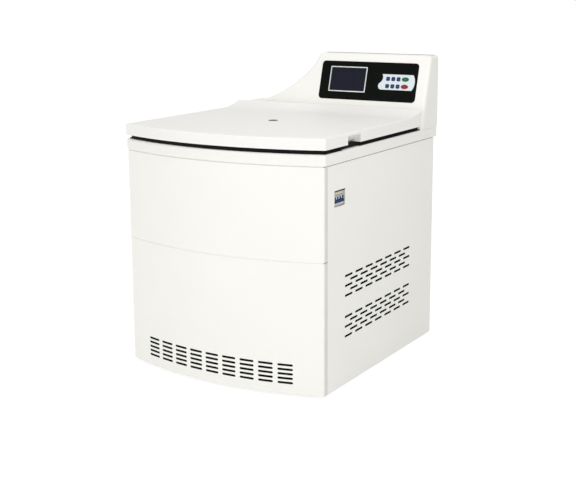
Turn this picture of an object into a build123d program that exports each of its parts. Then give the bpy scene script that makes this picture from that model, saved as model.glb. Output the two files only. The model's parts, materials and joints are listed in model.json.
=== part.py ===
"""Floor-standing refrigerated centrifuge, in millimetres.

X runs to the right, Y to the rear and Z up. The origin lies on the floor, under the middle of the
whole machine. The front corners of the cabinet lie at y = front_y, and the bowed front stands ahead
of them. Heights inside the machine are worked out from the deck down or from the base up.
"""
from build123d import *
import os
from math import asin, cos, hypot, radians, sin, sqrt, tan

# How far a cutter reaches past the faces that it cuts
over = 1.0

# Cabinet
body_width = 850.0
body_depth = 889.0
cabinet_height = 816.0
front_bow = 79.0
floor_gap = 10.0
sheet = 2.0
fold = 15.0
seat_gap = 0.3
front_return = 25.0
panel_joint = 0.3
front_split_height = 481.0
front_split_gap = 2.5

# Deck
deck_seam = 3.0
deck_band = 39.5
deck_sheet = 3.0
deck_side_overhang = 4.0
deck_rear_overhang = 17.0
deck_edge_radius = 5.0
cable_pass = (100.0, 40.0)
cable_pass_middle = 150.0

# Lid
lid_gap = 16.0
lid_height = 40.5
lid_side_overhang = 6.0
lid_front_overhang = 4.7
lid_rear = 753.0
lid_rear_rise = 24.0
lid_sweep_start = 630.0
lid_wall = 2.5
lid_edge_radius = 4.0
notch_front = 155.0
notch_length = 94.0
notch_depth = 36.0
notch_height = 31.0
notch_gap = 1.0
liner_sheet = 2.5
liner_rear = 700.0
plug_radius = 296.0
plug_depth = 25.0
plug_edge = 4.0

# Sight port in the lid, on the rotor's axis
port_radius = 18.0
port_flange = 1.2
port_tube_radius = 15.6
port_bore_radius = 12.5
port_glass = 3.0
port_glass_gap = 0.2
port_edge = 0.6

# Hinge of the lid
hinge_y = 738.0
hinge_spacing = 600.0
hinge_shaft_radius = 5.0
hinge_shaft_end = 4.0
hinge_shaft_edge = 1.0
running_gap = 0.06
knuckle_radius = 11.0
bracket_width = 12.0
bracket_depth = 20.0
bracket_foot = (44.0, 40.0, 5.0)
bracket_corner = 6.0
bracket_gap = 2.0
hinge_arm_width = 16.0
hinge_arm_thickness = 10.0
hinge_arm_front = 560.0
hinge_arm_gap = 4.0
hinge_barrel_step = 1.0

# Lid lock
lock_spacing = 370.0
striker_y = -14.0
striker_drop = 48.0
striker_bar_radius = 4.0
striker_leg_radius = 3.0
striker_width = 24.0
striker_bar_end = 1.5
striker_foot = 8.0
striker_foot_sheet = 2.0
striker_slot_depth = 28.0
lock_shaft_radius = 6.0
lock_offset = 24.0
lock_drop = 8.0
hook_thickness = 8.0
hook_nose = 7.0
hook_clearance = 0.5
hook_arm = 14.0
hook_hub = 3.0
hook_overreach = 2.0
hook_release = 45.0
hanger_inset = 30.0
hanger_width = 12.0
hanger_radius = 10.0
hanger_rear = 12.0
actuator_size = (60.0, 24.0, 74.0)
actuator_middle = 60.0
actuator_drop = 60.0
actuator_neck = (30.0, 18.0)

# Console
console_foot = 765.0
console_rear = 911.0
console_height = 285.5
console_lean = 15.83
console_wall = 3.0
console_edge_radius = 16.0
swoop_low_left = 70.8
swoop_low_right = 82.0
swoop_low_run = 89.0
swoop_high = (526.8, 241.5)
swoop_top = 506.0
swoop_radius = 457.0
back_cover = 2.0

# Places on the console's face: in from its right edge, and up the leaning face from its foot
fascia_size = (440.0, 159.0)
fascia_place = (266.7, 184.7)
fascia_radius = 15.0
fascia_thickness = 2.5
fascia_proud = 1.0
fascia_rim = 8.0
bezel_size = (170.0, 105.0)
bezel_place = (358.2, 189.5)
bezel_height = 2.4
bezel_radius = 3.0
screen_size = (156.0, 93.0)
screen_thickness = 1.4
ribbon_share = 0.6
plate_thickness = 1.2
plate_left = 203.0
plate_right = 66.0
plate_bottom = 153.0
plate_height = 63.3
plate_bulge = (9.0, 0.62)
plate_corner = 1.0
plate_tip = (13.5, 0.22)
plate_waist = (5.0, 0.46)
plate_scallop = (4.0, 0.70)
key_columns = (175.7, 152.3, 129.0)
key_rows = (197.6, 167.9)
key_size = 16.0
key_radius = 4.0
oval_column = 98.9
oval_size = (31.0, 17.0)
key_proud = 1.3
key_travel = 0.6
key_gap = 0.35
key_float = 0.1
board_size = (300.0, 120.0)
board_thickness = 1.6
board_standoff = 12.0
board_hole_inset = 8.0
standoff_radius = 3.0
display_module = (120.0, 70.0, 5.4)

# Front vents, in the lower front panel
vent_end_share = 0.3
vent_columns = 9
vent_rows = 5
vent_length = 54.0
vent_height = 7.6
vent_pitch_x = 72.7
vent_pitch_z = 16.4
vent_bottom = 42.0

# Side vents, in blocks of staggered rows
side_vent_length = 54.4
side_vent_height = 7.2
side_vent_pitch_y = 79.0
side_vent_pitch_z = 18.2
side_vent_rows = 5
side_vent_count = 7
side_vent_front = 151.0
side_block_tops = (404.0, 252.5)
rear_vent_columns = 6
rear_vent_rows = 3

# Breaker and its window
window_front = 72.0
window_size = (76.0, 57.0)
window_bottom = 666.5
breaker_poles = 4
pole_pitch = 18.0
breaker_height = 85.0
breaker_depth = 55.0
breaker_nose = (17.0, 45.0)
breaker_setback = 6.0
lever_radius = 11.0
lever_clearance = 0.5
lever_reach = 17.0
lever_thickness = 5.0
lever_proud = 4.0
lever_edge = 2.0
lever_hang = 35.0
toggle_gap = 3.0
toggle_root = 1.0
breaker_cheek = 3.0
pole_line = (1.0, 1.2)

# Base and frame
pan_sheet = 3.0
pan_height = 40.0
post_leg = 40.0
post_sheet = 4.0
post_setback = 12.0
pad_radius = 32.0
pad_inset = 75.0
pad_edge = 2.0
gland_radius = 11.0
gland_length = 12.0
gland_height = 90.0
gland_side = 120.0
gland_flange = 4.0
gland_inside = 10.0
gland_shank_radius = 7.8
gland_hole_gap = 0.2
gland_nose = (10.0, 7.0)
gland_bore_radius = 4.5
pan_vent_radius = 50.0

# Chamber
rotor_y = 350.0
bowl_radius = 312.0
bowl_wall = 1.5
bowl_depth = 338.0
bowl_corner = 30.0
bowl_flange = 18.0
bowl_hole = 30.0
bowl_collar = 16.0
coil_radius = 5.0
coil_turns = 5
coil_pitch = 50.0
coil_first = 45.0
coil_riser_radius = 4.0
foam_wall = 40.0
foam_floor = 36.0
foam_bore = 45.0
foam_gap = 3.0
armour_wall = 8.0
armour_base = 4.0
gasket_width = 13.0
gasket_edge = 3.0
seal_inset = 13.0
seal_width = 12.0
seal_rear = 690.0

# Drive
shaft_radius = 12.5
collar_radius = 22.0
collar_height = 12.0
shaft_edge = 2.0
shaft_socket = 30.0
shaft_end_gap = 1.0
shaft_over_nut = 4.0
motor_radius = 92.0
motor_fin = 8.0
motor_fins = 18
motor_fin_thickness = 4.0
motor_fin_low = 30.0
motor_fin_high = 20.0
motor_length = 240.0
motor_flange_radius = 130.0
motor_flange = 14.0
motor_nose_radius = 48.0
motor_nose = 38.0
motor_nose_edge = 6.0
motor_nose_gap = 8.5
motor_plate_size = 440.0
motor_plate_sheet = 10.0
motor_plate_corner = 30.0
motor_plate_gap = 1.0
pillar_spacing = 370.0
pillar_size = 50.0
pillar_wall = 4.0
damper_radius = 24.0
damper_height = 35.0
damper_groove_radius = 10.0
damper_groove_out = 8.0

# Swing-out rotor
bucket_count = 4
pivot_drop = 178.5
pivot_radius = 160.0
rotor_radius = 205.0
rotor_thickness = 46.0
rotor_slot = 72.0
rotor_slot_inset = 20.0
rotor_cone_share = 1.35
hub_radius = 42.0
hub_rise = 9.0
pin_radius = 8.0
pin_length = 13.0
pin_gap = 0.3
nut_radius = 24.0
nut_height = 20.0
nut_edge = 6.0
nut_flutes = 6
nut_flute_radius = 8.0
nut_flute_out = 4.0
bucket_radius = 62.0
bucket_wall = 8.0
bucket_below = 100.0
bucket_above = 22.0
bucket_floor = 6.0
bucket_rim = 3.0
bucket_rim_height = 8.0
bucket_corner = 12.0
bucket_inner_corner = 8.0
lug_width = 34.0
lug_above = 14.0
lug_below = 28.0
lug_gap = 0.5
lug_corner = 8.0

# Refrigeration
compressor_radius = 100.0
compressor_height = 340.0
compressor_side = 210.0
compressor_y = 715.0
compressor_dome = 35.0
seam_height = 20.0
seam_width = 8.0
seam_rise = 3.0
feet_side = 15.0
feet_inset = 10.0
feet_sheet = 5.0
feet_corner = 20.0
grommet_radius = 14.0
grommet_height = 12.0
grommet_inset = (20.0, 15.0)
terminal_box = (60.0, 70.0, 60.0)
terminal_box_height = 40.0
stub_root = 100.0
stub_wall = 2.0
stub_rise = 8.0
discharge_stub = (45.0, 0.0)
suction_stub = (-45.0, 30.0)
condenser_size = (600.0, 60.0, 300.0)
condenser_front = -20.0
condenser_fin_pitch = 24.0
condenser_fin_depth = 5.0
condenser_groove = 10.0
condenser_margin = 20.0
condenser_foot = 12.0
condenser_low_header = 30.0
condenser_top_header = 18.0
condenser_end = 3.0
condenser_end_rise = 5.0
shroud_sheet = 2.5
shroud_length = 42.0
fan_radius = 120.0
fan_tip_gap = 6.0
fan_height = 190.0
fan_blades = 5
fan_hub_radius = 30.0
fan_hub_length = 30.0
fan_hub_edge = 4.0
fan_inset = 6.0
blade_thickness = 3.0
blade_chord = 60.0
blade_angle = 25.0
blade_root = 8.0
blade_corner = 18.0
blade_trim = 2.0
fan_shaft_radius = 4.0
fan_shaft_reach = 12.0
fan_bore_gap = 7.0
fan_motor_radius = 45.0
fan_motor_length = 60.0
fan_motor_edge = 6.0
spider_thickness = 4.0
spider_arms = 3
spider_arm_width = 14.0
spider_rim = (4.0, 10.0)
pipe_radius = 5.0
pipe_bend = 25.0
liquid_pipe_radius = 3.0
liquid_pipe_bend = 15.0
pipe_duct = 45.0
inverter_size = (250.0, 150.0, 300.0)
inverter_height = 120.0
inverter_side = 60.0
inverter_edge = 8.0
sink_grooves = 8
sink_groove = (8.0, 20.0)
sink_margin = 20.0

# Derived places
front_y = -(console_rear - front_bow - lid_front_overhang) / 2
bow_radius = ((body_width / 2) ** 2 + front_bow ** 2) / (2 * front_bow)
bow_centre_y = front_y - front_bow + bow_radius
rear_y = front_y + body_depth
panel_top = floor_gap + cabinet_height
deck_top = panel_top + deck_seam + deck_band
deck_under = deck_top - deck_sheet
lid_bottom = deck_top + lid_gap
lid_top = lid_bottom + lid_height
chamber_y = front_y + rotor_y
pan_top = floor_gap + pan_sheet
bowl_bottom = deck_top - bowl_depth
pivot_z = deck_top - pivot_drop
hinge_z = lid_top
half_body = body_width / 2
console_half_width = half_body + deck_side_overhang
compressor_x = half_body - compressor_side
motor_top = bowl_bottom - foam_floor - armour_base - motor_nose_gap - motor_nose
motor_plate_height = motor_top - motor_flange - motor_plate_sheet


def bowed_plan(side_out, front_out, back):
    """Face of the cabinet's plan: bowed front, straight sides, cut off square at y = back."""
    half = half_body + side_out
    radius = bow_radius + front_out
    corner = bow_centre_y - sqrt(radius ** 2 - half ** 2)
    with BuildSketch() as plan:
        with BuildLine():
            ThreePointArc((-half, corner), (0, bow_centre_y - radius), (half, corner))
            Line((half, corner), (half, back))
            Line((half, back), (-half, back))
            Line((-half, back), (-half, corner))
        make_face()
    return plan.sketch


def block(low, high):
    """Box between two opposite corners."""
    size = [h - l for l, h in zip(low, high)]
    middle = [(h + l) / 2 for l, h in zip(low, high)]
    return Pos(*middle) * Box(*size)


def rod(start, radius, length, axis="Z"):
    """Cylinder that starts at a point and runs along a positive axis."""
    turns = {"X": Rot(0, 90, 0), "Y": Rot(-90, 0, 0), "Z": Rot(0, 0, 0)}
    lift = Pos(0, 0, length / 2)
    return Pos(*start) * turns[axis] * lift * Cylinder(radius, length)


def tube(start, outer, inner, length, axis="Z"):
    """Round tube with its start at a point."""
    return rod(start, outer, length, axis) - rod(start, inner, length, axis)


def slot_face(length, height):
    """Vent slot with its ends cut to half an octagon."""
    return chamfer(Rectangle(length, height).vertices(), height * vent_end_share)


def pierced(panel, plane, places, length, height, depth):
    """Panel with one slot through it at each place, a pair of distances in the plane."""
    slot = extrude(slot_face(length, height), amount=-depth)
    cutters = [(plane * Pos(x, y) * slot).solid() for x, y in places]
    return Part() + panel.cut(*cutters)


def spread(count, pitch):
    """Places of a row of copies about its middle."""
    return [(index - (count - 1) / 2) * pitch for index in range(count)]


def joined(*solids):
    """One solid from several that touch or overlap."""
    whole = solids[0]
    for solid in solids[1:]:
        whole = whole + solid
    return whole


# Cabinet panels

def front_panel(low, high, fold_at):
    """Bowed front sheet with side returns and one folded edge at the split line."""
    back = front_y + front_return
    ring = bowed_plan(0, 0, back) - bowed_plan(-sheet, -sheet, back + sheet)
    panel = Pos(0, 0, low) * extrude(ring, amount=high - low)
    fold_back = front_y + post_setback - sheet
    lip = bowed_plan(-sheet / 2, -sheet / 2, fold_back) - bowed_plan(-fold, -fold, fold_back + sheet)
    return panel + Pos(0, 0, fold_at) * extrude(lip, amount=sheet)


def front_panel_lower():
    top = floor_gap + front_split_height
    panel = front_panel(floor_gap, top, top - sheet)
    middle = floor_gap + vent_bottom + vent_pitch_z * (vent_rows - 1) / 2
    face = Plane(origin=(0, front_y - front_bow - fold, middle), x_dir=(1, 0, 0), z_dir=(0, -1, 0))
    places = [(x, z) for x in spread(vent_columns, vent_pitch_x) for z in spread(vent_rows, vent_pitch_z)]
    return pierced(panel, face, places, vent_length, vent_height, front_bow + fold + sheet)


def front_panel_upper():
    low = floor_gap + front_split_height + front_split_gap
    return front_panel(low, panel_top, low)


def side_vent_places():
    """Middle of each slot in the blocks of staggered rows: y and z."""
    places = []
    for top in side_block_tops:
        for row in range(side_vent_rows):
            first = front_y + side_vent_front + side_vent_length / 2 + side_vent_pitch_y / 2 * (row % 2)
            z = floor_gap + top - side_vent_pitch_z * row
            places += [(first + side_vent_pitch_y * index, z) for index in range(side_vent_count - row % 2)]
    return places


def side_panel(side):
    """Flat side sheet with its vents."""
    low_y = front_y + front_return + panel_joint
    xs = sorted((half_body * side, (half_body - sheet) * side))
    panel = block((xs[0], low_y, floor_gap), (xs[1], rear_y, panel_top))
    face = Plane(origin=(xs[1] + sheet, 0, 0), x_dir=(0, 1, 0), z_dir=(1, 0, 0))
    return pierced(panel, face, side_vent_places(), side_vent_length, side_vent_height, 3 * sheet)


def window_cutter():
    low = (half_body - 2 * sheet, front_y + window_front, floor_gap + window_bottom)
    high = (half_body + sheet, low[1] + window_size[0], low[2] + window_size[1])
    return block(low, high)


def rear_panel():
    half = half_body - sheet - seat_gap
    panel = block((-half, rear_y - sheet, floor_gap), (half, rear_y, panel_top))
    middle = floor_gap + side_block_tops[0]
    face = Plane(origin=(0, rear_y + sheet, middle), x_dir=(-1, 0, 0), z_dir=(0, 1, 0))
    places = [(x, z) for x in spread(rear_vent_columns, side_vent_pitch_y)
              for z in spread(rear_vent_rows, side_vent_pitch_z)]
    panel = pierced(panel, face, places, side_vent_length, side_vent_height, 3 * sheet)
    hole_radius = gland_shank_radius + gland_hole_gap
    gland_hole = rod((gland_x(), rear_y - 2 * sheet, gland_z()), hole_radius, 4 * sheet, "Y")
    return panel - gland_hole


def gland_x():
    return gland_side - half_body


def gland_z():
    return floor_gap + gland_height


def cable_gland():
    """Bare mains inlet gland in the rear panel: body, flange and dome nut with a bore."""
    x, z = gland_x(), gland_z()
    start = rear_y - sheet - gland_inside
    shank = rod((x, start, z), gland_shank_radius, gland_inside + sheet + gland_flange / 2, "Y")
    flange = rod((x, rear_y, z), gland_radius, gland_flange, "Y")
    nose = Rot(-90, 0, 0) * Cone(*gland_nose, gland_length)
    nose = Pos(x, rear_y + gland_flange + gland_length / 2, z) * nose
    length = gland_inside + sheet + gland_flange + gland_length
    bore = rod((x, start - over, z), gland_bore_radius, length + 2 * over, "Y")
    return joined(shank, flange, nose) - bore


def base_pan():
    """Pressed tray that the cabinet stands on, with its rim turned up."""
    inset = sheet + seat_gap
    back = rear_y - inset
    outside = bowed_plan(-inset, -inset, back)
    inside = bowed_plan(-inset - pan_sheet, -inset - pan_sheet, back - pan_sheet)
    tray = extrude(outside, amount=pan_height) - Pos(0, 0, pan_sheet) * extrude(inside, amount=pan_height)
    hole = Cylinder(pan_vent_radius, 4 * pan_sheet)
    return Pos(0, 0, floor_gap) * (tray - Pos(0, chamber_y, 0) * hole)


def post_corners():
    """Outer corner of each post, with the directions in which its legs run."""
    x = half_body - sheet - pan_sheet - 2 * seat_gap
    front = front_y + post_setback
    back = rear_y - sheet - pan_sheet - 2 * seat_gap
    return [(-x, front, 1, 1), (x, front, -1, 1), (-x, back, 1, -1), (x, back, -1, -1)]


def corner_post(x, y, dx, dy):
    xs = sorted((x, x + dx * post_leg))
    ys = sorted((y, y + dy * post_leg))
    thin_x = sorted((x, x + dx * post_sheet))
    thin_y = sorted((y, y + dy * post_sheet))
    along = block((xs[0], thin_y[0], pan_top), (xs[1], thin_y[1], deck_under))
    across = block((thin_x[0], ys[0], pan_top), (thin_x[1], ys[1], deck_under))
    return along + across


def breaker_shelf():
    """Bracket on the right front post that carries the breaker."""
    corner = post_corners()[1]
    back = breaker_front() - breaker_nose[0] - breaker_depth
    low = breaker_middle()[1] - breaker_height / 2
    high = low + breaker_height
    joint = corner[1] + post_sheet
    plate_end = breaker_middle()[0] + pole_pitch * breaker_poles / 2
    arm = block((back - post_sheet, joint, low), (corner[0] - post_leg / 2, joint + post_sheet, high))
    plate = block((back - post_sheet, joint, low), (back, plate_end, high))
    return arm + plate


def corner_posts():
    posts = [corner_post(*corner) for corner in post_corners()]
    posts[1] = posts[1] + breaker_shelf()
    return Compound(children=posts)


def rest_pads():
    """Rubber-faced pads under the pan's corners."""
    pads = []
    for x in (-1, 1):
        for y in (front_y + pad_inset, rear_y - pad_inset):
            pad = rod((x * (half_body - pad_inset), y, 0), pad_radius, floor_gap)
            pads.append(chamfer(pad.edges().group_by(Axis.Z)[0], pad_edge))
    return Compound(children=pads)


# Deck and chamber

def deck():
    """Cover pan over the cabinet, with the chamber opening, striker slots and a cable pass."""
    back = rear_y + deck_rear_overhang
    skirt = deck_band
    outer = extrude(bowed_plan(deck_side_overhang, 0, back), amount=skirt)
    outer = fillet(outer.edges().group_by(Axis.Z)[-1], deck_edge_radius)
    inset = deck_sheet
    inner = extrude(bowed_plan(deck_side_overhang - inset, -inset, back - inset), amount=skirt - inset)
    pan = Pos(0, 0, deck_top - skirt) * (outer - inner)
    opening = rod((0, chamber_y, deck_under - over), bowl_radius + bowl_wall + seat_gap, 2 * deck_sheet)
    pan = pan - opening
    for side in (-1, 1):
        x = side * lock_spacing / 2
        pan = pan - deck_hole(x, front_y + striker_y, 2 * striker_width, striker_slot_depth)
    pass_y = front_y + (console_foot + console_rear) / 2
    return pan - deck_hole(cable_pass_middle, pass_y, *cable_pass)


def deck_hole(x, y, width, depth):
    """Cutter of a square hole through the deck, by its middle and size."""
    return block((x - width / 2, y - depth / 2, deck_under - over),
                 (x + width / 2, y + depth / 2, deck_top + over))


def chamber_bowl():
    """Drawn stainless bowl: flange on the deck, round corner, collared hole for the shaft."""
    outer_r = bowl_radius + bowl_wall
    outer = rod((0, 0, 0), outer_r, bowl_depth)
    outer = fillet(outer.edges().group_by(Axis.Z)[0], bowl_corner + bowl_wall)
    inner = rod((0, 0, bowl_wall), bowl_radius, bowl_depth)
    inner = fillet(inner.edges().group_by(Axis.Z)[0], bowl_corner)
    flange = tube((0, 0, bowl_depth), bowl_radius + bowl_flange, bowl_radius, bowl_wall)
    collar = rod((0, 0, 0), bowl_hole + bowl_wall, bowl_collar)
    bowl = outer - inner + flange + collar - rod((0, 0, -over), bowl_hole, bowl_collar + 2 * over)
    return Pos(0, chamber_y, bowl_bottom) * bowl


def coil_centre_radius():
    return bowl_radius + bowl_wall + seat_gap + coil_radius


def coil_low():
    return bowl_bottom + coil_first


def evaporator_coil():
    """Turns of copper tube on the bowl's wall, joined by one riser where they step up."""
    turns = []
    for turn in range(coil_turns):
        z = coil_low() + coil_pitch * turn
        turns.append(Pos(0, chamber_y, z) * Torus(coil_centre_radius(), coil_radius))
    riser_y = chamber_y + coil_centre_radius() + coil_radius / 2
    riser = rod((0, riser_y, coil_low()), coil_riser_radius, coil_pitch * (coil_turns - 1))
    return joined(riser, *turns)


def foam_inner():
    return coil_centre_radius() + coil_radius + foam_gap


def foam_outer():
    return foam_inner() + foam_wall


def foam_bottom():
    return bowl_bottom - foam_floor


def pipe_holes(radius, low, length):
    """Holes for the two pipes that rise to the coil."""
    reach = coil_centre_radius() * sin(radians(45))
    return [rod((side * reach, chamber_y + reach, low), radius, length) for side in (-1, 1)]


def chamber_insulation():
    outer = rod((0, chamber_y, foam_bottom()), foam_outer(), deck_under - foam_bottom())
    inner = rod((0, chamber_y, bowl_bottom - seat_gap), foam_inner(), bowl_depth)
    foam = outer - inner - rod((0, chamber_y, foam_bottom() - over), foam_bore, 2 * foam_floor)
    for hole in pipe_holes(2 * pipe_radius, foam_bottom() - over, 2 * foam_floor):
        foam = foam - hole
    return foam


def armour_outer():
    return foam_outer() + seat_gap + armour_wall


def armour_ring():
    """Steel safety ring round the foam, hung from the deck, with a floor under the foam."""
    inner = foam_outer() + seat_gap
    wall = tube((0, chamber_y, foam_bottom()), armour_outer(), inner, deck_under - foam_bottom())
    floor = tube((0, chamber_y, foam_bottom() - armour_base), armour_outer(), foam_bore, armour_base)
    ring = wall + floor
    for hole in pipe_holes(2 * pipe_radius, foam_bottom() - 2 * armour_base, 4 * armour_base):
        ring = ring - hole
    return ring


def chamber_gasket():
    """Rubber ring on the bowl's flange and the black edge seal round the deck, just under the closed lid."""
    low = deck_top + bowl_wall
    inner = bowl_radius + bowl_flange - gasket_width
    ring = tube((0, chamber_y, low), inner + gasket_width, inner, lid_bottom - seat_gap - low)
    return Compound(children=[chamfer(ring.edges().group_by(Axis.Z)[-1], gasket_edge), edge_seal()])


def edge_seal():
    """Rubber strip along the deck's front and sides that closes the gap under the lid's edge."""
    back = front_y + seal_rear
    inner = seal_inset + seal_width
    strip = bowed_plan(-seal_inset, -seal_inset, back) - bowed_plan(-inner, -inner, back + over)
    return Pos(0, 0, deck_top) * extrude(strip, amount=lid_gap - seat_gap)


# Drive

def motor_plate():
    half = motor_plate_size / 2
    low = (-half, chamber_y - half, motor_plate_height)
    plate = block(low, (half, chamber_y + half, motor_plate_height + motor_plate_sheet))
    plate = fillet(plate.edges().filter_by(Axis.Z), motor_plate_corner)
    hole_radius = motor_radius + motor_fin + motor_plate_gap
    hole = rod((0, chamber_y, motor_plate_height - over), hole_radius, 2 * motor_plate_sheet)
    return plate - hole


def motor_base():
    return motor_top - motor_length


def drive_motor():
    """Upright finned motor hung in the plate by its flange, with a bearing nose on top."""
    low = motor_base()
    body = rod((0, chamber_y, low), motor_radius, motor_length - motor_flange)
    fin_start = low + motor_fin_low
    fin_length = motor_plate_height - motor_fin_high - fin_start
    for index in range(motor_fins):
        turn = Rot(0, 0, 360 / motor_fins * index)
        fin = Box(2 * motor_fin, motor_fin_thickness, fin_length)
        place = Pos(0, chamber_y, fin_start + fin_length / 2) * turn * Pos(motor_radius, 0, 0)
        body = body + place * fin
    flange = rod((0, chamber_y, motor_top - motor_flange), motor_flange_radius, motor_flange)
    nose = rod((0, chamber_y, motor_top), motor_nose_radius, motor_nose)
    nose = chamfer(nose.edges().group_by(Axis.Z)[-1], motor_nose_edge)
    bore_length = shaft_socket + motor_nose
    bore = rod((0, chamber_y, motor_top - shaft_socket), shaft_radius + running_gap, bore_length)
    return body + flange + nose - bore


def pillar_places():
    half = pillar_spacing / 2
    return [(x, chamber_y + y) for x in (-half, half) for y in (-half, half)]


def motor_dampers():
    low = motor_plate_height - damper_height
    dampers = []
    for x, y in pillar_places():
        groove_middle = damper_radius + damper_groove_out
        waist = Pos(x, y, low + damper_height / 2) * Torus(groove_middle, damper_groove_radius)
        dampers.append(rod((x, y, low), damper_radius, damper_height) - waist)
    return Compound(children=dampers)


def motor_pillars():
    """Square tube pillars from the pan to the dampers, each with a cap plate."""
    pillars = []
    height = motor_plate_height - damper_height - pan_top
    for x, y in pillar_places():
        outer = Pos(x, y, pan_top + height / 2) * Box(pillar_size, pillar_size, height)
        inner_size = pillar_size - 2 * pillar_wall
        inner = Pos(x, y, pan_top + height / 2) * Box(inner_size, inner_size, height - 2 * pillar_wall)
        pillars.append(outer - inner)
    return Compound(children=pillars)


def shaft_bottom():
    return motor_top - shaft_socket + shaft_end_gap


def collar_top():
    return pivot_z - rotor_thickness / 2 - hub_rise


def shaft_top():
    return pivot_z + rotor_thickness / 2 + hub_rise + nut_height + shaft_over_nut


def drive_shaft():
    """Vertical spindle with the collar that the rotor sits on."""
    low = shaft_bottom()
    shaft = rod((0, chamber_y, low), shaft_radius, shaft_top() - low)
    shaft = chamfer(shaft.edges().group_by(Axis.Z)[-1], shaft_edge)
    return shaft + rod((0, chamber_y, collar_top() - collar_height), collar_radius, collar_height)


# Rotor and buckets

def bucket_places():
    step = 360 / bucket_count
    return [Pos(0, chamber_y, pivot_z) * Rot(0, 0, step * index) for index in range(bucket_count)]


def rotor_cut():
    """Plan of one bucket bay: a round end toward the hub, open outward."""
    centre = pivot_radius - rotor_slot_inset
    bay = Pos(centre, 0) * Circle(rotor_slot)
    return bay + Pos(centre + rotor_radius / 2, 0) * Rectangle(rotor_radius, 2 * rotor_slot)


def swing_rotor():
    """Cross-shaped yoke with a pair of pins in each bay."""
    plan = Circle(rotor_radius)
    for index in range(bucket_count):
        plan = plan - Rot(0, 0, 360 / bucket_count * index) * rotor_cut()
    yoke = Pos(0, 0, -rotor_thickness / 2) * extrude(plan, amount=rotor_thickness)
    cone_height = rotor_thickness / 2 + hub_rise
    crown = Pos(0, 0, cone_height / 2) * Cone(rotor_radius * rotor_cone_share, hub_radius, cone_height)
    taper = crown + Pos(0, 0, -rotor_thickness / 2) * Cylinder(rotor_radius + over, rotor_thickness)
    yoke = yoke & taper
    hub_height = rotor_thickness + 2 * hub_rise
    yoke = yoke + Cylinder(hub_radius, hub_height)
    for index in range(bucket_count):
        turn = Rot(0, 0, 360 / bucket_count * index)
        for side in (-1, 1):
            start = rotor_slot - pin_length if side > 0 else -rotor_slot - pin_length
            pin = rod((pivot_radius, start, 0), pin_radius, 2 * pin_length, "Y")
            yoke = yoke + turn * pin
    yoke = yoke - Cylinder(shaft_radius + running_gap, 3 * hub_height)
    return Pos(0, chamber_y, pivot_z) * yoke


def rotor_nut():
    """Domed hand nut with flutes that holds the rotor down."""
    low = pivot_z + rotor_thickness / 2 + hub_rise
    nut = rod((0, 0, low), nut_radius, nut_height)
    nut = fillet(nut.edges().group_by(Axis.Z)[-1], nut_edge)
    flute = rod((nut_radius + nut_flute_out, 0, low - over), nut_flute_radius, nut_height + 2 * over)
    for index in range(nut_flutes):
        nut = nut - Rot(0, 0, 360 / nut_flutes * index) * flute
    return Pos(0, chamber_y, 0) * (nut - rod((0, 0, low - over), shaft_radius + running_gap, 2 * nut_height))


def bucket():
    """Round swing bucket with lugs that hook over the rotor's pins, modelled about its pivot."""
    height = bucket_below + bucket_above
    cup = rod((0, 0, -bucket_below), bucket_radius, height)
    cup = fillet(cup.edges().group_by(Axis.Z)[0], bucket_corner)
    rim = rod((0, 0, bucket_above - bucket_rim_height), bucket_radius + bucket_rim, bucket_rim_height)
    cup = cup + rim
    lug_end = rotor_slot - lug_gap
    lug_height = lug_above + lug_below
    lug = Pos(0, 0, (lug_above - lug_below) / 2) * Box(lug_width, 2 * lug_end, lug_height)
    lug = fillet(lug.edges().filter_by(Axis.Y).group_by(Axis.Z)[-1], lug_corner)
    cup = cup + lug
    hollow = rod((0, 0, -bucket_below + bucket_floor), bucket_radius - bucket_wall, height)
    cup = cup - fillet(hollow.edges().group_by(Axis.Z)[0], bucket_inner_corner)
    groove_r = pin_radius + pin_gap
    for side in (-1, 1):
        deep = rotor_slot - pin_length - pin_gap
        start = deep if side > 0 else -deep - 2 * pin_length
        cup = cup - rod((0, start, 0), groove_r, 2 * pin_length, "Y")
        groove = Pos(0, start + pin_length, -lug_below) * Box(2 * groove_r, 2 * pin_length, 2 * lug_below)
        cup = cup - groove
    return Pos(pivot_radius, 0, 0) * cup


# Refrigeration

def condenser():
    """Fin block between two end plates, standing on the pan in front of the fan."""
    width, depth, height = condenser_size
    y = front_y + condenser_front
    core = block((-width / 2, y, pan_top + condenser_foot), (width / 2, y + depth, pan_top + height))
    half = condenser_groove / 2
    low, high = pan_top + condenser_low_header, pan_top + height - condenser_top_header
    for x in spread(int((width - 2 * condenser_margin) / condenser_fin_pitch), condenser_fin_pitch):
        core = core - block((x - half, y - over, low), (x + half, y + condenser_fin_depth, high))
    for side in (-1, 1):
        xs = sorted((side * width / 2, side * (width / 2 + condenser_end)))
        core = core + block((xs[0], y, pan_top), (xs[1], y + depth, pan_top + height + condenser_end_rise))
    return core


def shroud_front():
    return front_y + condenser_front + condenser_size[1] + seat_gap


def fan_shroud():
    """Plate behind the condenser with the duct ring that the fan runs in."""
    width, _, height = condenser_size
    y = shroud_front()
    plate = block((-width / 2, y, pan_top), (width / 2, y + shroud_sheet, pan_top + height))
    radius = fan_radius + fan_tip_gap
    ring = rod((0, y, fan_height), radius + shroud_sheet, shroud_length, "Y")
    return plate + ring - rod((0, y - over, fan_height), radius, shroud_length + 2 * over, "Y")


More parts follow.
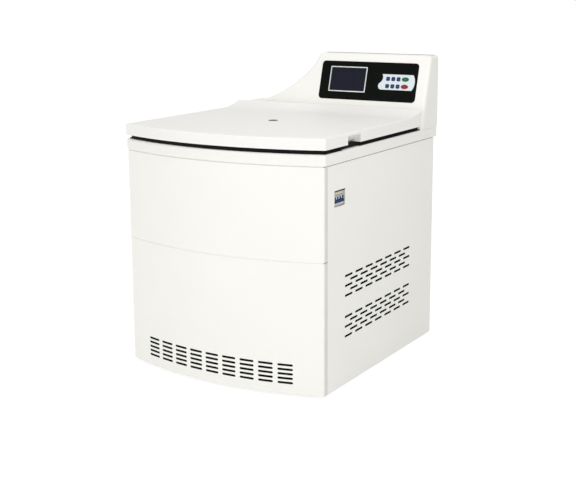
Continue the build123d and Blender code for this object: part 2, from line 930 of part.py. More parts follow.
def condenser_fan():
    """Axial fan: hub, pitched blades and its shaft."""
    y = shroud_front() + fan_inset
    fan = rod((0, 0, 0), fan_hub_radius, fan_hub_length)
    fan = fillet(fan.edges().group_by(Axis.Z)[0], fan_hub_edge)
    root = fan_hub_radius - blade_root
    span = fan_radius - root
    for index in range(fan_blades):
        blade = Rectangle(span, blade_chord)
        blade = fillet(blade.vertices().group_by(Axis.X)[-1], blade_corner)
        blade = extrude(Pos(root + span / 2, 0) * blade, amount=blade_thickness / 2, both=True)
        place = Rot(0, 0, 360 / fan_blades * index) * Pos(0, 0, fan_hub_length / 2) * Rot(blade_angle, 0, 0)
        fan = fan + place * blade
    fan = fan & rod((0, 0, -fan_hub_length), fan_radius - blade_trim, 3 * fan_hub_length)
    fan = fan + rod((0, 0, 0), fan_shaft_radius, shroud_length + spider_thickness + fan_shaft_reach)
    return Pos(0, y, fan_height) * Rot(-90, 0, 0) * fan


def fan_motor():
    """Small motor behind the fan on a three-armed spider that bolts to the duct ring."""
    y = shroud_front() + shroud_length
    ring_r = fan_radius + fan_tip_gap
    spider = tube((0, y, fan_height), ring_r + spider_rim[1], ring_r - spider_rim[0], spider_thickness, "Y")
    for index in range(spider_arms):
        angle = 90 + 360 / spider_arms * index
        arm = Pos(ring_r / 2, 0, spider_thickness / 2) * Box(ring_r, spider_arm_width, spider_thickness)
        spider = spider + Pos(0, y, fan_height) * Rot(-90, 0, 0) * Rot(0, 0, angle) * arm
    can = rod((0, y, fan_height), fan_motor_radius, fan_motor_length, "Y")
    can = fillet(can.edges().group_by(Axis.Y)[-1], fan_motor_edge)
    bore_end = fan_inset + spider_thickness + fan_shaft_reach + fan_bore_gap
    bore = rod((0, y - over, fan_height), fan_shaft_radius + running_gap, bore_end + over, "Y")
    return spider + can - bore


def compressor():
    """Hermetic can with domed ends, a weld seam, terminal box, feet plate and pipe stubs."""
    radius = compressor_radius
    low = -compressor_height / 2
    can = fillet(Cylinder(radius, compressor_height).edges(), compressor_dome)
    seam = tube((0, 0, seam_height), radius + seam_rise, radius - seam_rise, seam_width)
    half_feet = (radius + feet_side, radius - feet_inset)
    feet = Box(2 * half_feet[0], 2 * half_feet[1], feet_sheet)
    feet = fillet(feet.edges().filter_by(Axis.Z), feet_corner)
    body = can + seam + Pos(0, 0, low + feet_sheet / 2) * feet
    body = body + Pos(radius, 0, terminal_box_height) * Box(*terminal_box)
    stub_length = stub_top() - base_z() + low - stub_root
    for x, y in (discharge_stub, suction_stub):
        body = body + rod((x, y, stub_root), pipe_radius + stub_wall, stub_length)
    grommet = rod((0, 0, low - grommet_height), grommet_radius, grommet_height)
    reach = [half - inset for half, inset in zip(half_feet, grommet_inset)]
    for x in (-reach[0], reach[0]):
        for y in (-reach[1], reach[1]):
            body = body + Pos(x, y, 0) * grommet
    return Pos(compressor_x, front_y + compressor_y, base_z() - low) * body


def base_z():
    """Height of the compressor's feet plate, on its grommets."""
    return pan_top + grommet_height


def stub_top():
    return base_z() + compressor_height + stub_rise


def compressor_stubs():
    """Plan places of the discharge and suction stubs."""
    return [(compressor_x + x, compressor_y + y) for x, y in (discharge_stub, suction_stub)]


def pipe(points, radius, bend):
    """Round pipe along straight runs with equal bends."""
    path = FilletPolyline(*points, radius=bend)
    start = Plane(origin=path @ 0, z_dir=path % 0)
    return sweep(start * Circle(radius), path=path)


def refrigerant_pipes():
    """Discharge, suction and liquid lines between compressor, condenser and coil."""
    (dx, dy), (sx, sy) = compressor_stubs()
    top = stub_top()
    condenser_top = pan_top + condenser_size[2]
    condenser_y = front_y + condenser_front + condenser_size[1] / 2
    duct = motor_plate_height + pipe_duct
    reach = coil_centre_radius() * sin(radians(45))
    rise = coil_low() - coil_radius - seat_gap
    run = front_y + dy
    discharge = pipe([(dx, run, top), (dx, run, duct), (dx, condenser_y, duct),
                      (dx, condenser_y, condenser_top)],
                     pipe_radius, pipe_bend)
    suction = pipe([(sx, front_y + sy, top), (sx, front_y + sy, duct), (reach, chamber_y + reach, duct),
                    (reach, chamber_y + reach, rise)], pipe_radius, pipe_bend)
    liquid = pipe([(-dx, condenser_y, condenser_top), (-dx, condenser_y, duct),
                   (-dx, chamber_y + reach, duct), (-reach, chamber_y + reach, duct),
                   (-reach, chamber_y + reach, rise)], liquid_pipe_radius, liquid_pipe_bend)
    return Compound(children=[discharge, suction, liquid])


def inverter_drive():
    """Motor inverter on the rear panel: box with a ribbed heat sink."""
    width, depth, height = inverter_size
    back = rear_y - sheet - seat_gap
    x = inverter_side - half_body
    low = floor_gap + inverter_height
    box = block((x, back - depth, low), (x + width, back, low + height))
    box = fillet(box.edges().filter_by(Axis.Z).group_by(Axis.Y)[0], inverter_edge)
    groove_width, groove_depth = sink_groove
    pitch = (width - 2 * sink_margin) / (sink_grooves - 1)
    for shift in spread(sink_grooves, pitch):
        left = x + width / 2 + shift - groove_width / 2
        box = box - block((left, back - groove_depth, low - over),
                          (left + groove_width, back + over, low + height + over))
    return box


# Breaker

def breaker_middle():
    """Centre of the window and the breaker: y and z."""
    return (front_y + window_front + window_size[0] / 2, floor_gap + window_bottom + window_size[1] / 2)


def breaker_front():
    return half_body - breaker_setback


def lever_axis():
    return breaker_front() - lever_radius + lever_proud


def breaker_body():
    """Four-pole breaker: deep body, stepped nose and the round recess of the lever."""
    y, z = breaker_middle()
    width = breaker_poles * pole_pitch
    nose_x = breaker_front() - breaker_nose[0]
    back = nose_x - breaker_depth
    body = block((back, y - width / 2, z - breaker_height / 2),
                 (nose_x, y + width / 2, z + breaker_height / 2))
    half_nose = breaker_nose[1] / 2
    body = body + block((nose_x - over, y - width / 2, z - half_nose),
                        (breaker_front(), y + width / 2, z + half_nose))
    recess = lever_radius + lever_clearance
    inside = width / 2 - breaker_cheek
    body = body - rod((lever_axis(), y - inside, z), recess, 2 * inside, "Y")
    slot = block((lever_axis(), y - inside, z - recess), (breaker_front() + over, y + inside, z + recess))
    line_width, line_depth = pole_line
    for shift in spread(breaker_poles - 1, pole_pitch):
        start = y + shift - line_width / 2
        body = body - block((breaker_front() - line_depth, start, z - half_nose - over),
                            (breaker_front() + over, start + line_width, z + half_nose + over))
    return body - slot


def breaker_lever():
    """Ganged toggle: one drum with a handle bar across the poles, hanging down at rest."""
    y, z = breaker_middle()
    inside = breaker_poles * pole_pitch / 2 - breaker_cheek - lever_clearance
    drum = rod((0, -inside, 0), lever_radius, 2 * inside, "Y")
    bar = block((0, -inside, -lever_thickness / 2), (lever_reach, inside, lever_thickness / 2))
    bar = fillet(bar.edges().filter_by(Axis.Y).group_by(Axis.X)[-1], lever_edge)
    lever = drum + Rot(0, lever_hang, 0) * bar
    for shift in spread(breaker_poles - 1, pole_pitch):
        start = shift - toggle_gap / 2
        lever = lever - block((lever_radius - toggle_root, start, -lever_reach),
                              (2 * lever_reach, start + toggle_gap, lever_reach))
    return Pos(lever_axis(), y, z) * lever


# Lid

def lid_block(inset, drop):
    """Solid lid form, inset all round and on top, with its bottom lowered by drop."""
    top = lid_top - inset
    back = front_y + lid_rear - inset
    start = front_y + lid_sweep_start
    run = lid_rear - lid_sweep_start
    radius = (run ** 2 + lid_rear_rise ** 2) / (2 * lid_rear_rise)
    half_angle = asin(run / radius) / 2
    middle = (start + (radius + inset) * sin(half_angle), top + (radius + inset) * (1 - cos(half_angle)))
    rise = (radius + inset) - sqrt((radius + inset) ** 2 - (back - start) ** 2)
    front = front_y - front_bow - 2 * lid_front_overhang
    low = lid_bottom - drop
    with BuildSketch(Plane.YZ) as profile:
        with BuildLine():
            Line((front, low), (front, top))
            Line((front, top), (start, top))
            ThreePointArc((start, top), middle, (back, top + rise))
            Line((back, top + rise), (back, low))
            Line((back, low), (front, low))
        make_face()
    width = half_body + lid_side_overhang - inset
    side_form = extrude(profile.sketch, amount=width, both=True)
    plan = bowed_plan(lid_side_overhang - inset, lid_front_overhang - inset, back)
    plan_form = Pos(0, 0, low) * extrude(plan, amount=lid_height + lid_rear_rise + drop + over)
    return side_form & plan_form


def notch_wedge(side, grow):
    """Finger scoop in one lid edge: its ceiling slopes from the outside down to the lid's bottom."""
    edge = side * (half_body + lid_side_overhang)
    slope = notch_height / notch_depth
    rise = grow * hypot(1, slope)
    outer = edge + side * over
    top = lid_bottom + notch_height + over * slope + rise
    inner = edge - side * (notch_depth + rise / slope)
    below = lid_bottom - over
    with BuildSketch(Plane.XZ) as profile:
        with BuildLine():
            Polyline((outer, below), (outer, top), (inner, lid_bottom), (inner, below), close=True)
        make_face()
    start = front_y + notch_front - grow
    return Pos(0, start, 0) * extrude(profile.sketch, amount=-(notch_length + 2 * grow))


def lid_shell():
    """Hollow lid with a bowed front, an upswept rear edge and a finger scoop on each side."""
    outer = lid_block(0, 0)
    rounded = fillet(lid_rim(outer), lid_edge_radius)
    shell = rounded - lid_block(lid_wall, over)
    for side in (-1, 1):
        shell = shell + (rounded & notch_wedge(side, lid_wall)) - notch_wedge(side, 0)
    port = rod((0, chamber_y, lid_top - 2 * lid_wall), port_tube_radius + seat_gap, 4 * lid_wall)
    shell = shell - port
    for side in (-1, 1):
        x = side * hinge_spacing / 2
        half = bracket_width / 2 + bracket_gap
        wall_y = front_y + lid_rear
        shell = shell - block((x - half, wall_y - 2 * lid_wall, lid_bottom - over),
                              (x + half, wall_y + lid_wall, hinge_z + knuckle_radius + hinge_barrel_step))
    return shell


def lid_rim(form):
    """Upper edges of the lid's front and sides, and its front vertical corners."""
    front_limit = front_y + lid_rear - 1
    high = [e for e in form.edges() if e.center().Z > lid_top - 1 and e.center().Y < front_limit]
    sides = [e for e in high if abs(e.center().X) > 10 or e.center().Y < front_y]
    corners = [e for e in form.edges().filter_by(Axis.Z) if e.center().Y < chamber_y]
    return ShapeList(sides + corners)


def lid_liner():
    """Closing sheet under the lid, pressed down into a round plug over the chamber."""
    inset = lid_wall + seat_gap
    plan = bowed_plan(lid_side_overhang - inset, lid_front_overhang - inset, front_y + liner_rear)
    liner = Pos(0, 0, lid_bottom) * extrude(plan, amount=liner_sheet)
    for side in (-1, 1):
        edge = side * (half_body + lid_side_overhang)
        xs = sorted((edge, edge - side * (notch_depth + 2 * lid_wall)))
        start = front_y + notch_front - lid_wall - notch_gap
        length = notch_length + 2 * lid_wall + 2 * notch_gap
        liner = liner - block((xs[0], start, lid_bottom - over),
                              (xs[1], start + length, lid_bottom + 2 * liner_sheet))
    low = lid_bottom - plug_depth
    plug = rod((0, chamber_y, low), plug_radius, plug_depth + over)
    plug = chamfer(plug.edges().group_by(Axis.Z)[0], plug_edge)
    inner = plug_radius - liner_sheet - plug_edge
    hollow = rod((0, chamber_y, low + liner_sheet), inner, plug_depth + liner_sheet)
    port = rod((0, chamber_y, low - over), port_tube_radius + seat_gap, plug_depth)
    return liner + plug - hollow - port


def sight_port_bezel():
    """Flanged tube from the lid's top down through the plug."""
    low = lid_bottom - plug_depth
    pipe_part = tube((0, chamber_y, low), port_tube_radius, port_bore_radius, lid_top - low)
    flange = rod((0, chamber_y, lid_top), port_radius, port_flange)
    flange = chamfer(flange.edges().group_by(Axis.Z)[-1], port_edge)
    return pipe_part + flange - rod((0, chamber_y, lid_top - over), port_bore_radius, port_flange + 2 * over)


def sight_port_glass():
    return rod((0, chamber_y, lid_top - port_glass), port_bore_radius - port_glass_gap, port_glass)


def lid_strikers():
    """Two staples under the lid that the lock hooks catch."""
    staples = []
    for side in (-1, 1):
        x = side * lock_spacing / 2
        y = front_y + striker_y
        low = lid_bottom - striker_drop
        half = striker_width / 2
        legs = [rod((x + s * half, y, low), striker_leg_radius, striker_drop) for s in (-1, 1)]
        end = half + striker_leg_radius + striker_bar_end
        bar = rod((x - end, y, low), striker_bar_radius, 2 * end, "X")
        foot = block((x - half - striker_foot, y - striker_foot, lid_bottom - striker_foot_sheet),
                     (x + half + striker_foot, y + striker_foot, lid_bottom))
        staples.append(joined(foot, bar, *legs))
    return Compound(children=staples)


def lid_hinge_arms():
    """Flat arms under the lid's skin, each ending in a barrel on the hinge shaft."""
    arms = []
    for side in (-1, 1):
        near = side * (hinge_spacing / 2 - bracket_width / 2 - hinge_arm_gap)
        far = near - side * hinge_arm_width
        xs = sorted((near, far))
        skin = lid_top - lid_wall
        bar = block((xs[0], front_y + hinge_arm_front, skin - hinge_arm_thickness),
                    (xs[1], front_y + hinge_y, skin))
        barrel = rod((xs[0], front_y + hinge_y, hinge_z), knuckle_radius - hinge_barrel_step,
                     hinge_arm_width, "X")
        bore = rod((xs[0] - over, front_y + hinge_y, hinge_z), hinge_shaft_radius + running_gap,
                   hinge_arm_width + 2 * over, "X")
        arms.append(bar + barrel - bore)
    return Compound(children=arms)


def hinge_brackets():
    """Upright lugs on the deck that hold the hinge shaft."""
    brackets = []
    y = front_y + hinge_y
    for side in (-1, 1):
        x = side * hinge_spacing / 2
        foot = block((x - bracket_foot[0] / 2, y - bracket_foot[1] / 2, deck_top),
                     (x + bracket_foot[0] / 2, y + bracket_foot[1] / 2, deck_top + bracket_foot[2]))
        foot = fillet(foot.edges().filter_by(Axis.Z), bracket_corner)
        stem = block((x - bracket_width / 2, y - bracket_depth / 2, deck_top + over),
                     (x + bracket_width / 2, y + bracket_depth / 2, hinge_z))
        knuckle = rod((x - bracket_width / 2, y, hinge_z), knuckle_radius, bracket_width, "X")
        bore = rod((x - bracket_width, y, hinge_z), hinge_shaft_radius + running_gap, 2 * bracket_width, "X")
        brackets.append(foot + stem + knuckle - bore)
    return Compound(children=brackets)


def hinge_shaft():
    length = hinge_spacing + bracket_width + 2 * hinge_shaft_end
    shaft = rod((-length / 2, front_y + hinge_y, hinge_z), hinge_shaft_radius, length, "X")
    return chamfer(shaft.edges(), hinge_shaft_edge)


# Lock

def lock_place():
    """Axis of the lock shaft: y and z."""
    bar_z = lid_bottom - striker_drop
    return (front_y + striker_y - lock_offset, bar_z - lock_drop)


def lock_hook():
    """Hook profile about the shaft's axis, drawn engaged: arm up, nose back over the striker bar."""
    under = lock_drop + striker_bar_radius + hook_clearance
    reach = lock_offset + striker_bar_radius + hook_overreach
    arm = Pos(0, (under + hook_nose) / 2) * Rectangle(hook_arm, under + hook_nose)
    nose = Pos(reach / 2, under + hook_nose / 2) * Rectangle(reach, hook_nose)
    return Circle(lock_shaft_radius + hook_hub) + arm + nose


def lock_shaft():
    """Cross shaft with its two hooks, turned back to the released rest position."""
    y, z = lock_place()
    half = lock_spacing / 2 + hook_thickness
    shaft = rod((-half, y, z), lock_shaft_radius, 2 * half, "X")
    for side in (-1, 1):
        x = side * lock_spacing / 2 - hook_thickness / 2
        plane = Plane(origin=(x, y, z), x_dir=(0, 1, 0), z_dir=(1, 0, 0))
        profile = Rot(0, 0, hook_release) * lock_hook()
        shaft = shaft + extrude(plane * profile, amount=hook_thickness)
    return shaft


def lock_actuator():
    """Two bearing blocks under the deck and the gear motor that turns the lock shaft."""
    y, z = lock_place()
    pieces = []
    bore = rod((-half_body, y, z), lock_shaft_radius + running_gap, body_width, "X")
    for side in (-1, 1):
        start = side * (lock_spacing / 2 - hanger_inset) - hanger_width / 2
        hanger = block((start, y - hanger_radius, z), (start + hanger_width, y + hanger_rear, deck_under))
        boss = rod((start, y, z), hanger_radius, hanger_width, "X")
        pieces.append(hanger + boss - bore)
    width, depth, height = actuator_size
    low = z - actuator_drop
    motor = block((actuator_middle - width / 2, y - depth / 2, low),
                  (actuator_middle + width / 2, y + depth / 2, low + height))
    neck_width, neck_depth = actuator_neck
    neck = block((actuator_middle - neck_width / 2, y - neck_depth / 2, low + height - over),
                 (actuator_middle + neck_width / 2, y + neck_depth / 2, deck_under))
    pieces.append(motor + neck - bore)
    return Compound(children=pieces)


# Console

def console_outline(inset):
    """Front outline of the console with the swept left flank, from the deck up."""
    half = console_half_width
    top = console_height
    high = (half - swoop_high[0], swoop_high[1])
    low_end = (swoop_low_run - half, swoop_low_right)
    run, rise = high[0] - low_end[0], high[1] - low_end[1]
    chord = hypot(run, rise)
    sag = swoop_radius - sqrt(swoop_radius ** 2 - (chord / 2) ** 2)
    belly = (low_end[0] + run / 2 + rise / chord * sag, low_end[1] + rise / 2 - run / chord * sag)
    with BuildSketch() as outline:
        with BuildLine():
            Line((-half, 0), (half, 0))
            Line((half, 0), (half, top))
            Line((half, top), (half - swoop_top, top))
            Line((half - swoop_top, top), high)
            ThreePointArc(high, belly, low_end)
            Line(low_end, (-half, swoop_low_left))
            Line((-half, swoop_low_left), (-half, 0))
        make_face()
    face = outline.sketch
    upper = [v for v in face.vertices() if v.Y > top - over]
    face = fillet(upper, console_edge_radius)
    return offset(face, amount=-inset) if inset else face


def console_block(inset, spare):
    """Console form with its front edges rounded; an inset one reaches spare past the back and bottom."""
    lean = tan(radians(console_lean))
    foot = front_y + console_foot
    back = front_y + console_rear + spare
    face = Plane(origin=(0, foot, deck_top), x_dir=(1, 0, 0), z_dir=(0, -1, 0))
    outline = console_outline(inset)
    if spare:
        outline = outline + Pos(0, inset / 2) * Rectangle(2 * (console_half_width - inset), inset + 2 * spare)
    form = extrude(face * outline, amount=-(back - foot))
    shift = inset / cos(radians(console_lean))
    height = console_height + 2 * over
    low = 2 * (spare + over)
    with BuildSketch(Plane.YZ) as side:
        with BuildLine():
            Polyline((foot + shift - low * lean, deck_top - low), (foot + shift + height * lean, deck_top + height),
                     (back + over, deck_top + height), (back + over, deck_top - low), close=True)
        make_face()
    form = form & extrude(side.sketch, amount=console_half_width + over, both=True)
    chain = [e for e in form.edges() if on_leaning_face(e, inset) and e.center().Z > deck_top + over
             and e.center().X > inset - console_half_width + over]
    return fillet(ShapeList(chain), console_edge_radius - inset)


def face_plane(out):
    """Plane of the console's leaning face, shifted outward; its local Y runs up the face."""
    angle = radians(console_lean)
    normal = Vector(0, -cos(angle), sin(angle))
    foot = Vector(0, front_y + console_foot, deck_top)
    return Plane(origin=foot + normal * out, x_dir=(1, 0, 0), z_dir=normal)


def on_face(sketch, low, high):
    """Solid between two heights over the console's face, from a sketch in its plane."""
    return extrude(face_plane(low) * sketch, amount=high - low)


def on_spot(place):
    """Place on the face from its distances in from the console's right edge and up from its foot."""
    inward, up = place
    return Pos(console_half_width - inward, up)


def fascia_face(rim):
    width, height = fascia_size
    return on_spot(fascia_place) * RectangleRounded(width - 2 * rim, height - 2 * rim, fascia_radius - rim)


def console_housing():
    """Moulded console: leaning face with the fascia pocket, open behind and below."""
    shell = console_block(0, 0) - console_block(console_wall, console_wall)
    pocket = fascia_thickness - fascia_proud
    shell = shell - on_face(offset(fascia_face(0), amount=seat_gap), -pocket, over)
    return shell - on_face(fascia_face(fascia_rim), -3 * console_wall, over)


def on_leaning_face(edge, inset):
    """Whether both ends of an edge lie on the leaning face, or on its inset copy."""
    plane = face_plane(-inset)
    return all(abs(plane.to_local_coords(Vector(*v)).Z) < 0.01 for v in edge.vertices())


def console_back():
    """Rear cover of the console, set into its open back."""
    back = front_y + console_rear
    face = Plane(origin=(0, back - back_cover, deck_top), x_dir=(1, 0, 0), z_dir=(0, -1, 0))
    return extrude(face * console_outline(console_wall + seat_gap), amount=-back_cover)


def console_fascia():
    """Black panel with openings for the screen and the keys."""
    low = fascia_proud - fascia_thickness
    panel = on_face(fascia_face(0), low, fascia_proud)
    ribbon = on_spot(bezel_place) * Rectangle(*[ribbon_share * size for size in screen_size])
    return panel - on_face(ribbon, low - over, fascia_proud + over)


def display_bezel():
    ring = RectangleRounded(*bezel_size, bezel_radius) - Rectangle(*screen_size)
    return on_face(on_spot(bezel_place) * ring, fascia_proud, fascia_proud + bezel_height)


def display_screen():
    width, height = screen_size
    glass = on_spot(bezel_place) * Rectangle(width - 2 * seat_gap, height - 2 * seat_gap)
    return on_face(glass, fascia_proud, fascia_proud + screen_thickness)


def plate_face():
    """Keypad plate: bulged right end, and a left end that runs from a scallop into a round tip."""
    low, high = plate_bottom, plate_bottom + plate_height
    left, right = console_half_width - plate_left, console_half_width - plate_right
    corner = (right - plate_corner, low)
    bulge = (right + plate_bulge[0], low + plate_height * plate_bulge[1])
    tip = (left - plate_tip[0], low + plate_height * plate_tip[1])
    waist = (left - plate_waist[0], low + plate_height * plate_waist[1])
    scallop = (left + plate_scallop[0], low + plate_height * plate_scallop[1])
    with BuildSketch() as plate:
        with BuildLine():
            Line((left, high), (right, high))
            ThreePointArc((right, high), bulge, corner)
            Line(corner, (left, low))
            ThreePointArc((left, low), tip, waist)
            ThreePointArc(waist, scallop, (left, high))
        make_face()
    return plate.sketch


def key_shapes(grow):
    """Key outlines by node name, grown all round, each with its place on the face."""
    side = key_size + 2 * grow
    oval = [size / 2 + grow for size in oval_size]
    shapes = {}
    for row, height in enumerate(key_rows):
        for column, x in enumerate(key_columns):
            name = f"key_{row * len(key_columns) + column + 1}"
            shapes[name] = ((x, height), RectangleRounded(side, side, key_radius + grow))
    for name, height in zip(("key_start", "key_stop"), key_rows):
        shapes[name] = ((oval_column, height), Ellipse(*oval))
    return shapes


def keypad_plate():
    face = plate_face()
    for place, shape in key_shapes(key_gap).values():
        face = face - on_spot(place) * shape
    return on_face(face, fascia_proud, fascia_proud + plate_thickness)


def key(place, shape):
    """One key cap, standing out of its hole, with room under it to travel."""
    low = fascia_proud + key_travel + key_float
    high = fascia_proud + plate_thickness + key_proud
    return on_face(on_spot(place) * shape, low, high)


def control_board():
    """Circuit board on four standoffs behind the fascia."""
    back = fascia_proud - fascia_thickness
    width, height = board_size
    low = back - board_standoff - board_thickness
    front = low + board_thickness
    board = on_face(on_spot(fascia_place) * Rectangle(width, height), low, front)
    for x in spread(2, width - 2 * board_hole_inset):
        for y in spread(2, height - 2 * board_hole_inset):
            standoff = on_spot(fascia_place) * Pos(x, y) * Circle(standoff_radius)
            board = board + on_face(standoff, low, back)
    module_width, module_height, module_depth = display_module
    module = on_spot(bezel_place) * Rectangle(module_width, module_height)
    return board + on_face(module, front, front + module_depth)


def build_nodes():
    """Every node of the machine by name."""
    nodes = {
        "base_pan": base_pan(),
        "corner_posts": corner_posts(),
        "rest_pads": rest_pads(),
        "side_panel_left": side_panel(-1),
        "side_panel_right": side_panel(1) - window_cutter(),
        "front_panel_upper": front_panel_upper(),
        "front_panel_lower": front_panel_lower(),
        "rear_panel": rear_panel(),
        "cable_gland": cable_gland(),
        "deck": deck(),
        "chamber_bowl": chamber_bowl(),
        "evaporator_coil": evaporator_coil(),
        "chamber_insulation": chamber_insulation(),
        "armour_ring": armour_ring(),
        "chamber_gasket": chamber_gasket(),
        "motor_plate": motor_plate(),
        "drive_motor": drive_motor(),
        "motor_dampers": motor_dampers(),
        "motor_pillars": motor_pillars(),
        "drive_shaft": drive_shaft(),
        "swing_rotor": swing_rotor(),
        "rotor_nut": rotor_nut(),
        "condenser": condenser(),
        "fan_shroud": fan_shroud(),
        "condenser_fan": condenser_fan(),
        "fan_motor": fan_motor(),
        "compressor": compressor(),
        "refrigerant_pipes": refrigerant_pipes(),
        "inverter_drive": inverter_drive(),
        "breaker_body": breaker_body(),
        "breaker_lever": breaker_lever(),
        "lid_shell": lid_shell(),
        "lid_liner": lid_liner(),
        "sight_port_bezel": sight_port_bezel(),
        "sight_port_glass": sight_port_glass(),
        "lid_strikers": lid_strikers(),
        "lid_hinge_arms": lid_hinge_arms(),
        "hinge_brackets": hinge_brackets(),
        "hinge_shaft": hinge_shaft(),
        "lock_shaft": lock_shaft(),
        "lock_actuator": lock_actuator(),
        "console_housing": console_housing(),
        "console_back": console_back(),
        "console_fascia": console_fascia(),
        "display_bezel": display_bezel(),
        "display_screen": display_screen(),
        "keypad_plate": keypad_plate(),
        "control_board": control_board(),
    }
    for index, place in enumerate(bucket_places()):
        nodes[f"bucket_{index + 1}"] = place * bucket()
    for name, (place, shape) in key_shapes(0).items():
        nodes[name] = key(place, shape)
    return nodes


def main():
    os.makedirs("parts", exist_ok=True)
    for name, solid in build_nodes().items():
        export_step(solid, f"parts/{name}.step")


main()
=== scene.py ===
"""Looks of a floor-standing refrigerated centrifuge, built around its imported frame, in metres.

X runs to the machine's right, Y to the rear and Z up, as in the frame. One class stands for each
sub-assembly: it holds the sizes, builds the meshes and dresses them in finishes.
"""
import json
import logging
from dataclasses import dataclass
from enum import Enum
from math import atan2, cos, hypot, pi, radians, sin, sqrt
from typing import Callable, Iterable, Mapping, Sequence, Union

import bmesh
import bpy
from mathutils import Matrix, Vector

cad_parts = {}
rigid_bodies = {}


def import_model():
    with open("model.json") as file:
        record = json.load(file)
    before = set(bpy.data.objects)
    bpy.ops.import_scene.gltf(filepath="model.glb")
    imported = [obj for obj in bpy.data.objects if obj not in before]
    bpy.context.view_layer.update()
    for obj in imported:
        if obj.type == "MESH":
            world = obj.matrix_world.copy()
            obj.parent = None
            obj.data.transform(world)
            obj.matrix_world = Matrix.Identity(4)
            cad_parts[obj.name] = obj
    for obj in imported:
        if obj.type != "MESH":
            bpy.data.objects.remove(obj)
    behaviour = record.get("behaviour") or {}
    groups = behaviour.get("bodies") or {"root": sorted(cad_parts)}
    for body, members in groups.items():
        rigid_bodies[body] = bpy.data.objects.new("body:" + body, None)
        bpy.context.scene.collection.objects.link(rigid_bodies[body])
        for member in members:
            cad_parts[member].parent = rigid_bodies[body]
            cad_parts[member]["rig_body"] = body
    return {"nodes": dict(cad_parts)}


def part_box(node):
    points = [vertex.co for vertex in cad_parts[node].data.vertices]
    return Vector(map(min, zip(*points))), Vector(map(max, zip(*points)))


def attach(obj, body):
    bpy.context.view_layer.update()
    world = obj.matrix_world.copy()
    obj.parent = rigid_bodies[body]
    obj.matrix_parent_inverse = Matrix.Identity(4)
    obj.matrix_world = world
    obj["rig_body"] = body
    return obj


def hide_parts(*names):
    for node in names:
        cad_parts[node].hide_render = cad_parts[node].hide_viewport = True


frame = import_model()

log = logging.getLogger("centrifuge")

MM = 0.001
TOUCHING = 1e-6
KNIFE_WIDTH = 1e-7
SMALLEST_RADIUS = 0.05 * MM
Colour = tuple[float, float, float]
Point2 = tuple[float, float]
Point3 = tuple[float, float, float]
WHITE = (1.0, 1.0, 1.0, 1.0)
UPWARD = Vector((0.0, 0.0, 1.0))
REARWARD = Vector((0.0, 1.0, 0.0))


# Shader arithmetic

class Tap:
    """Output socket of a shader node, usable in Python arithmetic."""

    def __init__(self, recipe: "Recipe", socket: bpy.types.NodeSocket) -> None:
        """Keep the socket and the recipe whose tree it belongs to."""
        self.recipe = recipe
        self.socket = socket

    def _math(self, operation: str, first: "Amount", second: "Amount") -> "Tap":
        """Add a Math node on two amounts.

        Args:
            operation: Blender's name of the operation.
            first: Left operand.
            second: Right operand.

        Returns:
            The node's result.
        """
        return self.recipe.node("ShaderNodeMath", {"operation": operation}, {0: first, 1: second})

    def __add__(self, other: "Amount") -> "Tap":
        """Sum of this and another amount."""
        return self._math("ADD", self, other)

    def __radd__(self, other: "Amount") -> "Tap":
        """Sum of an amount and this."""
        return self._math("ADD", other, self)

    def __sub__(self, other: "Amount") -> "Tap":
        """This less another amount."""
        return self._math("SUBTRACT", self, other)

    def __rsub__(self, other: "Amount") -> "Tap":
        """An amount less this."""
        return self._math("SUBTRACT", other, self)

    def __mul__(self, other: "Amount") -> "Tap":
        """Product of this and another amount."""
        return self._math("MULTIPLY", self, other)

    def __rmul__(self, other: "Amount") -> "Tap":
        """Product of an amount and this."""
        return self._math("MULTIPLY", other, self)

    def __truediv__(self, other: "Amount") -> "Tap":
        """This divided by another amount."""
        return self._math("DIVIDE", self, other)

    def __pow__(self, other: "Amount") -> "Tap":
        """This raised to another amount."""
        return self._math("POWER", self, other)

    def above(self, level: "Amount") -> "Tap":
        """One where this is above a level, and zero elsewhere."""
        return self._math("GREATER_THAN", self, level)

    def stripes(self, pitch: float, gap: float) -> "Tap":
        """One on stripes across this value, and zero in the gap before each.

        Args:
            pitch: Distance from one stripe to the next.
            gap: Share of the pitch that the gap takes.

        Returns:
            The stripes.
        """
        return (self._math("FLOORED_MODULO", self, pitch) / pitch).above(gap)


Amount = Union[Tap, float]
Feed = Union[Tap, float, Sequence[float]]


